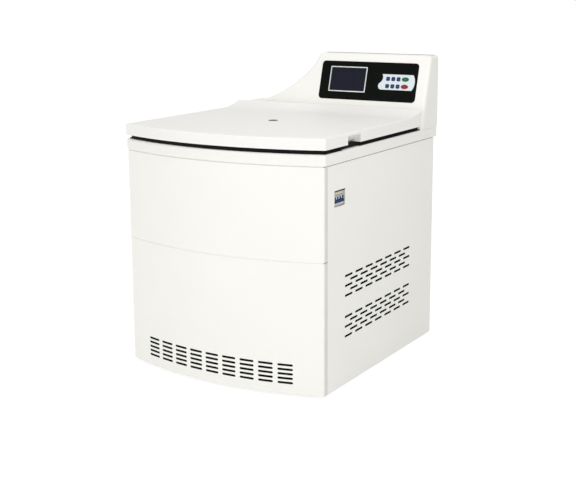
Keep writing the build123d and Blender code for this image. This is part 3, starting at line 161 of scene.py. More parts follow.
class Recipe:
    """Node tree of a material or of the world, with one method that adds any node."""

    def __init__(self, owner: Union[bpy.types.Material, bpy.types.World]) -> None:
        """Start with an empty tree.

        Args:
            owner: The material or the world that the tree belongs to.
        """
        owner.use_nodes = True
        self.owner = owner
        self.tree = owner.node_tree
        self.tree.nodes.clear()

    def node(self, kind: str, settings: Mapping[str, object] | None = None,
             values: Mapping[Union[str, int], Feed] | None = None, out: Union[str, int] = 0) -> Tap:
        """Add a node.

        Args:
            kind: Blender's type of the node.
            settings: Properties of the node, or "stops" for a colour ramp.
            values: Values or links of its input sockets, by name or number.
            out: Output socket that the result stands for.

        Returns:
            The chosen output.
        """
        made = self.tree.nodes.new(kind)
        for key, setting in (settings or {}).items():
            if key == "stops":
                self._set_stops(made.color_ramp, setting)
            else:
                setattr(made, key, setting)
        for key, value in (values or {}).items():
            if isinstance(value, Tap):
                self.tree.links.new(value.socket, made.inputs[key])
            else:
                made.inputs[key].default_value = value
        return Tap(self, made.outputs[out])

    @staticmethod
    def _set_stops(ramp: bpy.types.ColorRamp, stops: Sequence[tuple[float, float]]) -> None:
        """Set a ramp to grey stops.

        Args:
            ramp: The ramp.
            stops: Pairs of place and level, from the left.
        """
        while len(ramp.elements) < len(stops):
            ramp.elements.new(0.5)
        for element, (place, level) in zip(ramp.elements, stops):
            element.position = place
            element.color = (level, level, level, 1.0)

    def place(self) -> Tap:
        """Place on the piece, in metres."""
        return self.node("ShaderNodeTexCoord", out="Object")

    def along(self, axis: int) -> Tap:
        """Place on the piece along one axis, 0 for X, 1 for Y and 2 for Z."""
        return self.node("ShaderNodeSeparateXYZ", None, {0: self.place()}, axis)

    def stretched(self, scale: Sequence[float]) -> Tap:
        """Place on the piece, scaled by a factor along each axis."""
        return self.node("ShaderNodeMapping", None, {"Vector": self.place(), "Scale": scale})

    def noise(self, scale: float, detail: float = 2.0, vector: Tap | None = None) -> Tap:
        """Noise from 0 to 1 over the piece.

        Args:
            scale: Cells per metre, or per unit of the vector.
            detail: Octaves of finer noise.
            vector: Place to read it at, the piece's own by default.

        Returns:
            The noise.
        """
        return self.node("ShaderNodeTexNoise", None,
                         {"Vector": vector or self.place(), "Scale": scale, "Detail": detail})

    def blend(self, factor: Amount, first: Union[Tap, Colour], second: Union[Tap, Colour]) -> Tap:
        """Mix two colours.

        Args:
            factor: 0 for the first colour and 1 for the second.
            first: First colour.
            second: Second colour.

        Returns:
            The mixed colour.
        """
        ends = [c if isinstance(c, Tap) else (*c, 1.0) for c in (first, second)]
        return self.node("ShaderNodeMix", {"data_type": "RGBA"}, {0: factor, 6: ends[0], 7: ends[1]}, 2)

    def tones(self, factor: Amount, colour: Colour, low: float, high: float = 1.0) -> Tap:
        """Mix two tones of a colour.

        Args:
            factor: 0 for the first tone and 1 for the second.
            colour: Linear colour.
            low: Brightness of the first tone, as a share of the colour's.
            high: Brightness of the second tone.

        Returns:
            The mixed colour.
        """
        return self.blend(factor, shaded(colour, low), shaded(colour, high))

    @staticmethod
    def around(level: float, *swings: tuple[Tap, float]) -> Tap:
        """Vary a level evenly up and down.

        Args:
            level: The level.
            *swings: Pairs of a pattern from 0 to 1 and the full range that it adds.

        Returns:
            The varied level.
        """
        varied: Amount = level
        for pattern, reach in swings:
            varied = varied + (pattern - 0.5) * reach
        return varied

    def bump(self, height: Amount, depth: float) -> Tap:
        """Normal of a fine relief.

        Args:
            height: Relief from 0 to 1.
            depth: Depth of the relief in metres.

        Returns:
            The normal.
        """
        return self.node("ShaderNodeBump", None, {"Height": height, "Distance": depth, "Strength": 1.0})

    def done(self, **sockets: Feed) -> bpy.types.Material:
        """Close the material with a Principled shader.

        Args:
            **sockets: Its inputs, with _ for each space in their names.

        Returns:
            The finished material.
        """
        values = {key.replace("_", " "): value for key, value in sockets.items()}
        self.surface(self.node("ShaderNodeBsdfPrincipled", None, values))
        return self.owner

    def surface(self, shader: Tap, output: str = "ShaderNodeOutputMaterial") -> None:
        """Link a shader to the tree's output, whose type is given for the world."""
        made = self.tree.nodes.new(output)
        self.tree.links.new(shader.socket, made.inputs["Surface"])


# Finishes

@dataclass(frozen=True)
class Finish:
    """A surface finish, known by its name."""

    name: str

    def material(self) -> bpy.types.Material:
        """The finish's material, made the first time that it is asked for."""
        return bpy.data.materials.get(self.name) or self.mix(Recipe(bpy.data.materials.new(self.name)))

    def mix(self, recipe: Recipe) -> bpy.types.Material:
        """Fill the recipe.

        Args:
            recipe: Empty material.

        Returns:
            The finished material.
        """
        raise NotImplementedError


def shaded(colour: Colour, share: float) -> Colour:
    """A colour with its brightness scaled.

    Args:
        colour: Linear colour.
        share: Factor on each channel.

    Returns:
        The scaled colour.
    """
    return tuple(min(1.0, channel * share) for channel in colour)


@dataclass(frozen=True)
class PowderCoat(Finish):
    """Stoved paint with a fine peel, clouded very slightly in colour and gloss."""

    colour: Colour
    gloss: float = 0.42
    peel: float = 0.00004
    soil: float = 0.0

    def mix(self, recipe: Recipe) -> bpy.types.Material:
        """Fill the recipe with the paint's colour, peel and clouding.

        Args:
            recipe: Empty material.

        Returns:
            The finished material.
        """
        cloud = recipe.noise(scale=3.5, detail=4.0)
        mottle = recipe.noise(scale=60.0, detail=3.0)
        base = recipe.tones(cloud, self.colour, 0.975, 1.012)
        if self.soil:
            dust = recipe.node("ShaderNodeValToRGB", {"stops": [(0.45, 0.0), (0.8, 1.0)]},
                               {"Fac": recipe.noise(scale=22.0, detail=6.0)})
            base = recipe.blend(dust * self.soil, base, shaded(self.colour, 0.72))
        coarse, fine = recipe.noise(scale=620.0, detail=2.0), recipe.noise(scale=1900.0, detail=1.0)
        relief = coarse * 0.7 + fine * 0.3
        roughness = recipe.around(self.gloss, (mottle, 0.10))
        return recipe.done(Base_Color=base, Roughness=roughness, Normal=recipe.bump(relief, self.peel),
                           Specular_IOR_Level=0.3)


@dataclass(frozen=True)
class Moulding(Finish):
    """Moulded plastic or rubber with a spark-eroded grain and slightly polished high spots."""

    colour: Colour
    gloss: float = 0.5
    grain: float = 900.0
    depth: float = 0.00005
    shine: float = 0.5

    def mix(self, recipe: Recipe) -> bpy.types.Material:
        """Fill the recipe with the plastic's grain.

        Args:
            recipe: Empty material.

        Returns:
            The finished material.
        """
        cells = recipe.node("ShaderNodeTexVoronoi", {"feature": "SMOOTH_F1"},
                            {"Vector": recipe.place(), "Scale": self.grain})
        flow = recipe.noise(scale=9.0, detail=3.0)
        base = recipe.tones(flow, self.colour, 0.93, 1.06)
        roughness = recipe.around(self.gloss, (flow, 0.12), (cells, 0.08))
        return recipe.done(Base_Color=base, Roughness=roughness, Normal=recipe.bump(cells, self.depth),
                           Specular_IOR_Level=self.shine)


class Grain(Enum):
    """Run of the fine tool marks on a metal."""

    ALONG_X = (12.0, 900.0, 900.0)
    CAST = (160.0, 160.0, 160.0)


@dataclass(frozen=True)
class Metal(Finish):
    """Bare or plated metal with straight tool marks, or a cast skin."""

    colour: Colour
    grain: Grain
    roughness: float = 0.3
    depth: float = 0.00002
    tarnish: float = 0.1

    def mix(self, recipe: Recipe) -> bpy.types.Material:
        """Fill the recipe with the metal's marks and tarnish.

        Args:
            recipe: Empty material.

        Returns:
            The finished material.
        """
        marks = recipe.noise(scale=1.0, detail=3.0, vector=recipe.stretched(self.grain.value))
        patches = recipe.noise(scale=14.0, detail=5.0)
        base = recipe.tones(patches * self.tarnish + marks * 0.15, self.colour, 1.0, 0.62)
        roughness = recipe.around(self.roughness, (marks, 0.16), (patches, 0.10))
        return recipe.done(Base_Color=base, Metallic=1.0, Roughness=roughness,
                           Normal=recipe.bump(marks, self.depth))


@dataclass(frozen=True)
class TurnedMetal(Finish):
    """Metal spun or turned about an upright axis, with fine rings round it."""

    colour: Colour
    axis: Point2
    ring: float = 0.0012
    roughness: float = 0.26
    depth: float = 0.00002

    def mix(self, recipe: Recipe) -> bpy.types.Material:
        """Fill the recipe with rings that vary in width and depth.

        Args:
            recipe: Empty material.

        Returns:
            The finished material.
        """
        dx, dy = recipe.along(0) - self.axis[0], recipe.along(1) - self.axis[1]
        radius = (dx * dx + dy * dy) ** 0.5
        track = recipe.node("ShaderNodeCombineXYZ", None,
                            {0: radius / self.ring, 1: recipe.along(2) / self.ring})
        rings = recipe.noise(scale=1.0, detail=3.0, vector=track)
        smears = recipe.noise(scale=8.0, detail=4.0)
        base = recipe.tones(rings * 0.3 + smears * 0.2, self.colour, 1.0, 0.6)
        roughness = recipe.around(self.roughness, (rings, 0.2), (smears, 0.1))
        return recipe.done(Base_Color=base, Metallic=1.0, Roughness=roughness,
                           Normal=recipe.bump(rings, self.depth))


@dataclass(frozen=True)
class FinStock(Finish):
    """Edges of close aluminium fins, seen as fine upright lines dimmed by dust, with painted shade of the
    deep gaps between them.
    """

    pitch: float = 0.0025

    def mix(self, recipe: Recipe) -> bpy.types.Material:
        """Fill the recipe with the fins' lines.

        Args:
            recipe: Empty material.

        Returns:
            The finished material.
        """
        line = recipe.along(0).stripes(self.pitch, 0.35)
        dust = recipe.noise(scale=30.0, detail=6.0)
        # Painted shade: the near-black colour between the lines stands in for the shade in the gaps between
        # the fins; dust dims the lines.
        base = recipe.blend(line * (1.0 - dust * 0.5), (0.02, 0.02, 0.022), (0.42, 0.43, 0.44))
        return recipe.done(Base_Color=base, Metallic=0.8, Roughness=0.45 + dust * 0.2,
                           Normal=recipe.bump(line, 0.0006))


@dataclass(frozen=True)
class GlossPanel(Finish):
    """Black gloss sheet with faint wiping marks."""

    colour: Colour

    def mix(self, recipe: Recipe) -> bpy.types.Material:
        """Fill the recipe with the gloss and the marks.

        Args:
            recipe: Empty material.

        Returns:
            The finished material.
        """
        wiped = recipe.noise(scale=1.0, detail=4.0, vector=recipe.stretched((9.0, 60.0, 60.0)))
        spots = recipe.noise(scale=35.0, detail=5.0)
        base = recipe.tones(spots * 0.5, self.colour, 1.0, 1.9)
        roughness = 0.12 + wiped * 0.10 + spots * 0.05
        return recipe.done(Base_Color=base, Roughness=roughness, Specular_IOR_Level=0.045)


@dataclass(frozen=True)
class DisplayPane(Finish):
    """Unlit display: a dark pane over a fine grid of dots."""

    colour: Colour
    dot: float = 0.0009

    def mix(self, recipe: Recipe) -> bpy.types.Material:
        """Fill the recipe with the dot grid and a faint clouding.

        Args:
            recipe: Empty material.

        Returns:
            The finished material.
        """
        grid = recipe.along(0).stripes(self.dot, 0.3) * recipe.along(2).stripes(self.dot, 0.3)
        cloud = recipe.noise(scale=25.0, detail=3.0)
        base = recipe.tones(grid * 0.6 + cloud * 0.4, self.colour, 0.55, 1.35)
        return recipe.done(Base_Color=base, Roughness=0.16 + cloud * 0.06, Specular_IOR_Level=0.1)


@dataclass(frozen=True)
class SmokedGlass(Finish):
    """Dark clear disc."""

    colour: Colour

    def mix(self, recipe: Recipe) -> bpy.types.Material:
        """Fill the recipe with smoked glass that has a few fine specks.

        Args:
            recipe: Empty material.

        Returns:
            The finished material.
        """
        specks = recipe.noise(scale=400.0, detail=2.0)
        base = recipe.tones(specks, self.colour, 1.0, 1.5)
        return recipe.done(Base_Color=base, Roughness=0.05 + specks * 0.05, Transmission_Weight=0.35,
                           IOR=1.49)


@dataclass(frozen=True)
class RigidFoam(Finish):
    """Foamed insulation with open cells at its cut faces, painted shade darkening the cells' hollows, and
    lumps of random tone.
    """

    colour: Colour

    def mix(self, recipe: Recipe) -> bpy.types.Material:
        """Fill the recipe with cells of two sizes.

        Args:
            recipe: Empty material.

        Returns:
            The finished material.
        """
        cells = recipe.node("ShaderNodeTexVoronoi", None, {"Vector": recipe.place(), "Scale": 420.0})
        lumps = recipe.noise(scale=28.0, detail=4.0)
        # Painted shade in the cells' hollows, where the relief sinks; the lumps vary the tone at random.
        base = recipe.tones(cells * 0.5 + lumps * 0.5, self.colour, 0.7)
        return recipe.done(Base_Color=base, Roughness=0.85, Normal=recipe.bump(cells * 0.6 + lumps, 0.0006))


@dataclass(frozen=True)
class SolderMask(Finish):
    """Green circuit board with tracks under its mask."""

    colour: Colour
    track_pitch: float = 0.0025

    def mix(self, recipe: Recipe) -> bpy.types.Material:
        """Fill the recipe with blocks of parallel tracks.

        Args:
            recipe: Empty material.

        Returns:
            The finished material.
        """
        blocks = recipe.node("ShaderNodeTexVoronoi", {"distance": "CHEBYCHEV"},
                             {"Vector": recipe.place(), "Scale": 45.0})
        tracks = recipe.along(0).stripes(self.track_pitch, 0.6) * blocks.above(0.35)
        base = recipe.tones(tracks, self.colour, 1.0, 2.2)
        return recipe.done(Base_Color=base, Roughness=0.35, Normal=recipe.bump(tracks, 0.00003))


GASKET_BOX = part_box("chamber_gasket")
ROTOR_AXIS: Point2 = (sum(corner.x for corner in GASKET_BOX) / 2, sum(corner.y for corner in GASKET_BOX) / 2)


def key_plastic(name: str, colour: Colour) -> Moulding:
    """Fine-grained plastic of a key, known by its name."""
    return Moulding(name, colour, gloss=0.35, grain=1200.0, depth=0.00001, shine=0.2)


class Coat:
    """Every finish of the machine, with depths and pitches in metres."""

    PANEL = PowderCoat("finish_panel_paint", (0.860, 0.852, 0.812))
    DECK = PowderCoat("finish_deck_paint", (0.838, 0.829, 0.789))
    LID = PowderCoat("finish_lid_paint", (0.850, 0.838, 0.808), gloss=0.55, peel=0.00002)
    CONSOLE = PowderCoat("finish_console_paint", (0.838, 0.829, 0.790), gloss=0.42, peel=0.00002)
    PRIMER = PowderCoat("finish_grey_primer", (0.130, 0.135, 0.140), gloss=0.55, peel=0.00006, soil=0.4)
    ARMOUR = PowderCoat("finish_armour_primer", (0.045, 0.048, 0.052), gloss=0.6, peel=0.00008, soil=0.3)
    ENAMEL = PowderCoat("finish_black_enamel", (0.016, 0.017, 0.018), gloss=0.32, peel=0.00004, soil=0.3)
    FASCIA = GlossPanel("finish_fascia_black", (0.0022, 0.0030, 0.0022))
    SILVER = Metal("finish_bezel_silver", (0.56, 0.575, 0.58),
                   grain=Grain.ALONG_X, roughness=0.34, depth=0.000006, tarnish=0.1)
    DISPLAY = DisplayPane("finish_display", (0.0080, 0.0090, 0.0190))
    SURROUND = GlossPanel("finish_display_surround", (0.008, 0.011, 0.011))
    # Painted shade: darker grey for the front panels' side returns, which face away from the light.
    RETURN_SHADE = Moulding("finish_painted_return_shade", (0.690, 0.680, 0.645),
                    gloss=0.55, grain=900.0, depth=0.00002, shine=0.3)
    OVERLAY = Moulding("finish_keypad_overlay", (0.66, 0.71, 0.745),
                       gloss=0.40, grain=1600.0, depth=0.00001, shine=0.3)
    KEY_BLUE = key_plastic("finish_key_blue", (0.005, 0.026, 0.100))
    KEY_GREEN = key_plastic("finish_key_green", (0.008, 0.120, 0.036))
    KEY_RED = key_plastic("finish_key_red", (0.250, 0.003, 0.014))
    KEY_MARK = Moulding("finish_key_mark", (0.26, 0.30, 0.36),
                        gloss=0.45, grain=1500.0, depth=0.00001, shine=0.2)
    # Pale blue strip on each breaker paddle: a printed mark that is also a painted highlight on the paddle's
    # upper face.
    TOGGLE_MARK_AND_HIGHLIGHT = Moulding("finish_toggle_mark_and_highlight", (0.62, 0.72, 0.82),
                           gloss=0.4, grain=1500.0, depth=0.00001, shine=0.3)
    BREAKER = Moulding("finish_breaker_body", (0.62, 0.60, 0.53), gloss=0.45, grain=1100.0, depth=0.00004)
    LEVER = Moulding("finish_breaker_lever", (0.001, 0.040, 0.150),
                     gloss=0.40, grain=1100.0, depth=0.00002, shine=0.12)
    BLACK_PLASTIC = Moulding("finish_black_plastic", (0.012, 0.012, 0.013), gloss=0.4)
    FAN = Moulding("finish_fan_plastic", (0.018, 0.018, 0.019), gloss=0.5)
    LINER = Moulding("finish_liner_sheet", (0.74, 0.74, 0.71), gloss=0.45, grain=700.0, depth=0.00004)
    RUBBER = Moulding("finish_rubber", (0.006, 0.006, 0.006),
                      gloss=0.75, grain=800.0, depth=0.00006, shine=0.12)
    # Painted shade: near-black sheet behind the vents, standing in for the dark inside of the cabinet.
    VENT_SHADE = Moulding("finish_painted_vent_shade", (0.006, 0.006, 0.006),
                   gloss=0.9, grain=520.0, depth=0.0004, shine=0.05)
    GLASS = SmokedGlass("finish_sight_glass", (0.05, 0.055, 0.06))
    BOWL = TurnedMetal("finish_spun_bowl", (0.62, 0.63, 0.64), axis=ROTOR_AXIS)
    ROTOR = TurnedMetal("finish_turned_rotor", (0.42, 0.43, 0.45),
                        axis=ROTOR_AXIS, ring=0.0008, roughness=0.34)
    BUCKET = Metal("finish_bucket", (0.50, 0.51, 0.53),
                   grain=Grain.CAST, roughness=0.36, depth=0.00001, tarnish=0.2)
    BRIGHT = Metal("finish_ground_steel", (0.62, 0.63, 0.65), grain=Grain.ALONG_X, roughness=0.22)
    SHAFT = TurnedMetal("finish_ground_shaft", (0.60, 0.61, 0.63),
                        axis=ROTOR_AXIS, ring=0.0006, roughness=0.2)
    COPPER = Metal("finish_copper", (0.72, 0.36, 0.22),
                   grain=Grain.CAST, roughness=0.35, depth=0.00001, tarnish=0.6)
    SHROUD = Metal("finish_zinc_sheet", (0.42, 0.43, 0.45),
                   grain=Grain.CAST, roughness=0.45, depth=0.00001, tarnish=0.5)
    SCREW = Metal("finish_screw_zinc", (0.55, 0.56, 0.58),
                  grain=Grain.CAST, roughness=0.35, depth=0.00001, tarnish=0.3)
    FINS = FinStock("finish_condenser_fins")
    FOAM = RigidFoam("finish_rigid_foam", (0.72, 0.62, 0.30))
    BOARD = SolderMask("finish_circuit_board", (0.010, 0.085, 0.030))


# Mesh building

def node_body(node: str) -> str:
    """Name of the body that a node of the frame rides on."""
    return frame["nodes"][node]["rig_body"]


def span(node: str, axis: Vector) -> tuple[float, float]:
    """Lowest and highest reach of a node along a direction.

    Args:
        node: Name of the node.
        axis: Unit direction.

    Returns:
        The two distances from the origin.
    """
    reach = [vertex.co.dot(axis) for vertex in frame["nodes"][node].data.vertices]
    return min(reach), max(reach)


def middle(node: str) -> Vector:
    """Centre of a node's box."""
    low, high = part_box(node)
    return (low + high) / 2


@dataclass(frozen=True)
class Opening:
    """Rounded rectangle in a sheet, round-ended if its radius is half its height."""

    centre: Point2
    size: Point2
    radius: float
    steps: int = 6

    @classmethod
    def between(cls, low: Point2, high: Point2, radius: float) -> "Opening":
        """Shape that fills a box.

        Args:
            low: The box's lower left corner.
            high: Its upper right corner.
            radius: Radius of the shape's corners.

        Returns:
            The shape.
        """
        centre = ((low[0] + high[0]) / 2, (low[1] + high[1]) / 2)
        return cls(centre, (high[0] - low[0], high[1] - low[1]), radius)

    def loop(self, grow: float) -> list[Point2]:
        """Points round the shape, anticlockwise.

        Args:
            grow: Distance that the shape is grown all round, negative to shrink it.

        Returns:
            The points.
        """
        half_u = self.size[0] / 2 + grow
        half_v = self.size[1] / 2 + grow
        radius = min(max(self.radius + grow, SMALLEST_RADIUS), half_u, half_v)
        points = []
        for quarter, (side_u, side_v) in enumerate(((1, 1), (-1, 1), (-1, -1), (1, -1))):
            hub_u = self.centre[0] + side_u * (half_u - radius)
            hub_v = self.centre[1] + side_v * (half_v - radius)
            for step in range(self.steps + 1):
                angle = pi / 2 * (quarter + step / self.steps)
                points.append((hub_u + radius * cos(angle), hub_v + radius * sin(angle)))
        return points


@dataclass(frozen=True)
class Outline:
    """Free closed outline, anticlockwise, with points close enough to be smooth."""

    points: tuple[Point2, ...]

    def loop(self, grow: float) -> list[Point2]:
        """Points moved along the outline's own normals.

        Args:
            grow: Distance outward.

        Returns:
            The moved points.
        """
        moved = []
        count = len(self.points)
        for index, (u, v) in enumerate(self.points):
            last_u, last_v = self.points[index - 1]
            next_u, next_v = self.points[(index + 1) % count]
            along_u, along_v = next_u - last_u, next_v - last_v
            length = hypot(along_u, along_v)
            moved.append((u + along_v / length * grow, v - along_u / length * grow))
        return moved


Shape = Union[Opening, Outline]
Placer = Callable[[float, float, float], Vector]


def arc_through(start: Point2, via: Point2, end: Point2, steps: int) -> list[Point2]:
    """Points of the arc through three points, without its last one.

    Args:
        start: First point.
        via: A point between the ends.
        end: Last point.
        steps: Number of points to return.

    Returns:
        The points from start on.
    """
    (ax, ay), (bx, by), (cx, cy) = start, via, end
    turn = 2 * (ax * (by - cy) + bx * (cy - ay) + cx * (ay - by))
    a2, b2, c2 = ax * ax + ay * ay, bx * bx + by * by, cx * cx + cy * cy
    hub_x = (a2 * (by - cy) + b2 * (cy - ay) + c2 * (ay - by)) / turn
    hub_y = (a2 * (cx - bx) + b2 * (ax - cx) + c2 * (bx - ax)) / turn
    radius = hypot(ax - hub_x, ay - hub_y)
    first = atan2(ay - hub_y, ax - hub_x)
    swing = (atan2(cy - hub_y, cx - hub_x) - first) % (2 * pi)
    passed = (atan2(by - hub_y, bx - hub_x) - first) % (2 * pi)
    if passed > swing:
        swing -= 2 * pi
    angles = [first + swing * step / steps for step in range(steps)]
    return [(hub_x + radius * cos(angle), hub_y + radius * sin(angle)) for angle in angles]


def rounded_rim(thickness: float, edge: float, steps: int = 2) -> list[Point2]:
    """Profile round a sheet's edge, from its front face to its back.

    Args:
        thickness: Thickness of the sheet.
        edge: Radius of both edges.
        steps: Facets on each edge.

    Returns:
        Pairs of distance in from the boundary and height, which is zero at the front face.
    """
    front = []
    for step in range(steps + 1):
        angle = pi / 2 * step / steps
        front.append((edge * (1 - sin(angle)), -edge * (1 - cos(angle))))
    return front + [(inset, -thickness - height) for inset, height in reversed(front)]


def bridge(form: bmesh.types.BMesh, rings: Sequence[Sequence[Vector]]) -> list[list[bmesh.types.BMVert]]:
    """Join closed rings of as many points with quads.

    Args:
        form: Mesh to add to.
        rings: Rings in order, each a list of points.

    Returns:
        The vertices of each ring.
    """
    made = [[form.verts.new(point) for point in ring] for ring in rings]
    for lower, upper in zip(made, made[1:]):
        for index, corner in enumerate(lower):
            after = (index + 1) % len(lower)
            form.faces.new((corner, lower[after], upper[after], upper[index]))
    return made


def loft(form: bmesh.types.BMesh, rings: Sequence[Sequence[Vector]]) -> None:
    """Closed solid through rings, with a flat cap on each end.

    Args:
        form: Mesh to add to.
        rings: Rings in order, each a list of points.
    """
    made = bridge(form, rings)
    form.faces.new(list(reversed(made[0])))
    form.faces.new(made[-1])


def sheet_form(outline: Shape, openings: Iterable[Shape], thickness: float, edge: float, place: Placer,
               cuts: Iterable[float] = ()) -> bmesh.types.BMesh:
    """Sheet with openings and rounded edges, bent into place.

    Args:
        outline: Boundary of the sheet.
        openings: Holes through it.
        thickness: Thickness of the sheet.
        edge: Radius of every edge.
        place: Where a point (across, up, out) of the flat sheet goes.
        cuts: Distances across at which the sheet is divided, so that it can bend.

    Returns:
        The sheet's mesh.
    """
    form = bmesh.new()
    rim = rounded_rim(thickness, edge)
    for shape, side in [(outline, -1)] + [(opening, 1) for opening in openings]:
        bridge(form, [[Vector((u, v, height)) for u, v in shape.loop(side * inset)] for inset, height in rim])
    bmesh.ops.remove_doubles(form, verts=form.verts[:], dist=TOUCHING)
    for height in (0.0, -thickness):
        open_edges = [e for e in form.edges
                      if e.is_boundary and all(abs(v.co.z - height) < TOUCHING for v in e.verts)]
        bmesh.ops.triangle_fill(form, use_beauty=True, edges=open_edges)
    for cut in cuts:
        everything = form.verts[:] + form.edges[:] + form.faces[:]
        bmesh.ops.bisect_plane(form, geom=everything, plane_co=(cut, 0, 0), plane_no=(1, 0, 0),
                               dist=KNIFE_WIDTH)
    for vertex in form.verts:
        vertex.co = place(*vertex.co)
    return form


def circle(hub: Vector, axis: Vector, radius: float, steps: int, lobe: float = 0.0) -> list[Vector]:
    """Points of a circle, or of a cross with four round lobes.

    Args:
        hub: Its middle.
        axis: Unit direction that it faces.
        radius: Its radius.
        steps: Number of points.
        lobe: Share of the radius by which each lobe stands out.

    Returns:
        The points.
    """
    side = axis.orthogonal().normalized()
    other = axis.cross(side)
    points = []
    for step in range(steps):
        angle = 2 * pi * step / steps
        reach = radius * (1.0 + lobe * cos(4 * angle))
        points.append(hub + (side * cos(angle) + other * sin(angle)) * reach)
    return points


def turned_form(profile: Sequence[Point2], axis: Vector, base: Vector, steps: int = 48) -> bmesh.types.BMesh:
    """Solid of revolution.

    Args:
        profile: Pairs of radius and height, from the bottom up; the ends are closed with flat caps.
        axis: Unit direction of the axis.
        base: Point on the axis at height zero.
        steps: Facets round it.

    Returns:
        The solid's mesh.
    """
    form = bmesh.new()
    loft(form, [circle(base + axis * height, axis, radius, steps) for radius, height in profile])
    return form


def rounded_block(form: bmesh.types.BMesh, size: Sequence[float], edge: float, place: Matrix,
                  segments: int = 2) -> None:
    """Add a box with rounded edges.

    Args:
        form: Mesh to add to.
        size: Lengths along the box's own axes.
        edge: Radius of its edges.
        place: Where its middle goes, and how it is turned.
        segments: Facets on each edge.
    """
    made = bmesh.ops.create_cube(form, size=1.0, matrix=place @ Matrix.Diagonal((*size, 1.0)))
    edges = list({e for v in made["verts"] for e in v.link_edges})
    bmesh.ops.bevel(form, geom=edges, offset=edge, segments=segments, profile=0.5, affect="EDGES")


def block_between(form: bmesh.types.BMesh, low: Point3, high: Point3, edge: float, segments: int = 2) -> None:
    """Add a box with rounded edges between two corners.

    Args:
        form: Mesh to add to.
        low: Its lowest corner.
        high: Its highest corner.
        edge: Radius of its edges.
        segments: Facets on each edge.
    """
    size = [top - bottom for bottom, top in zip(low, high)]
    centre = [(top + bottom) / 2 for bottom, top in zip(low, high)]
    rounded_block(form, size, edge, Matrix.Translation(centre), segments)


HEAD_RISE = 0.55
HEAD_STEPS = 20
RECESS_LOBE = 0.45
HEAD_RINGS: tuple[Point3, ...] = (
    (1.0, 0.0, 0.0), (0.98, 0.45, 0.0), (0.86, 0.8, 0.0), (0.6, 0.97, 0.0), (0.36, 1.0, RECESS_LOBE),
    (0.30, 0.55, RECESS_LOBE))


@dataclass(frozen=True)
class Seat:
    """What a new piece rides on and stands for, with the name of a paint slot."""

    body: str
    slot: str
    stands_for: tuple[str, ...] = ()


def mesh_object(name: str, form: bmesh.types.BMesh) -> bpy.types.Object:
    """Put a mesh into the scene.

    Args:
        name: Name of the object.
        form: Its mesh, which is freed.

    Returns:
        The object.
    """
    mesh = bpy.data.meshes.new(name)
    form.to_mesh(mesh)
    form.free()
    made = bpy.data.objects.new(name, mesh)
    bpy.context.scene.collection.objects.link(made)
    return made


def add_piece(name: str, form: bmesh.types.BMesh, finish: Finish, seat: Seat, sharp: float = 40.0) -> None:
    """Turn a mesh into a finished piece of the machine.

    Args:
        name: Name of the piece.
        form: Its mesh, in the frame's own places. It is freed.
        finish: Its finish.
        seat: Where it belongs.
        sharp: Angle in degrees above which an edge stays sharp.
    """
    bmesh.ops.recalc_face_normals(form, faces=form.faces[:])
    piece = mesh_object(name, form)
    piece.data.shade_smooth()
    piece.data.set_sharp_from_angle(angle=radians(sharp))
    piece.data.materials.append(finish.material())
    piece.modifiers.new("even_shading", "WEIGHTED_NORMAL").keep_sharp = True
    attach(piece, seat.body)
    if seat.stands_for:
        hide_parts(*seat.stands_for)
    log.info("%s: %d faces on %s", name, len(piece.data.polygons), seat.body)


def dress(finish: Finish, *nodes: str) -> None:
    """Give nodes of the frame a finish.

    Args:
        finish: The finish.
        *nodes: Names of the nodes.
    """
    for node in nodes:
        part = frame["nodes"][node]
        if not part.material_slots:
            part.data.materials.append(None)
        for slot in part.material_slots:
            slot.link = "OBJECT"
            slot.material = finish.material()
        log.info("%s: dressed in %s", node, finish.name)


def soften(width: float, *nodes: str, flat_angle: float = radians(0.2),
           edge_angle: float = radians(40.0)) -> None:
    """Break the sharp edges of nodes of the frame, as paint and deburring do.

    Args:
        width: Width of the broken edge.
        *nodes: Names of the nodes.
        flat_angle: Angle under which faces count as one flat face.
        edge_angle: Angle above which an edge is broken.
    """
    for node in nodes:
        part = frame["nodes"][node]
        part.modifiers.new("weld", "WELD").merge_threshold = TOUCHING
        flat = part.modifiers.new("flat", "DECIMATE")
        flat.decimate_type = "DISSOLVE"
        flat.angle_limit = flat_angle
        bevel = part.modifiers.new("broken_edge", "BEVEL")
        bevel.width = width
        bevel.segments = 2
        bevel.limit_method = "ANGLE"
        bevel.angle_limit = edge_angle
        part.modifiers.new("even_shading", "WEIGHTED_NORMAL")


def screws(name: str, spots: Sequence[Vector], out: Vector, head: float = 4.0 * MM,
           body: str = "cabinet") -> None:
    """Pan-head screws with a cross recess, as one piece.

    Args:
        name: Name of the piece.
        spots: Centres of the heads on the surface.
        out: Unit direction that the heads face.
        head: Radius of a head.
        body: Name of the body that they ride on.
    """
    form = bmesh.new()
    for spot in spots:
        loft(form, [circle(spot + out * (head * HEAD_RISE * height), out, head * share, HEAD_STEPS, lobe)
                    for share, height, lobe in HEAD_RINGS])
    add_piece(name, form, Coat.SCREW, Seat(body, "bright_steel"))


# Casing

@dataclass(frozen=True)
class SlotPattern:
    """Size and pitch of one kind of vent slot."""

    length: float
    height: float
    pitch_across: float
    pitch_up: float

    def slot(self, centre: Point2) -> Opening:
        """One slot with round ends."""
        return Opening(centre, (self.length, self.height), self.height / 2)

    def block(self, first: Point2, columns: int, rows: int, stagger: bool = False) -> list[Opening]:
        """Rows of slots from the top one down.

        Args:
            first: Centre of the top row's first slot.
            columns: Slots in a full row.
            rows: Number of rows.
            stagger: Whether every second row is set half a pitch on, with one slot fewer.

        Returns:
            The slots.
        """
        slots = []
        for row in range(rows):
            odd = row % 2 if stagger else 0
            start = first[0] + odd * self.pitch_across / 2
            up = first[1] - row * self.pitch_up
            slots += [self.slot((start + index * self.pitch_across, up)) for index in range(columns - odd)]
        return slots


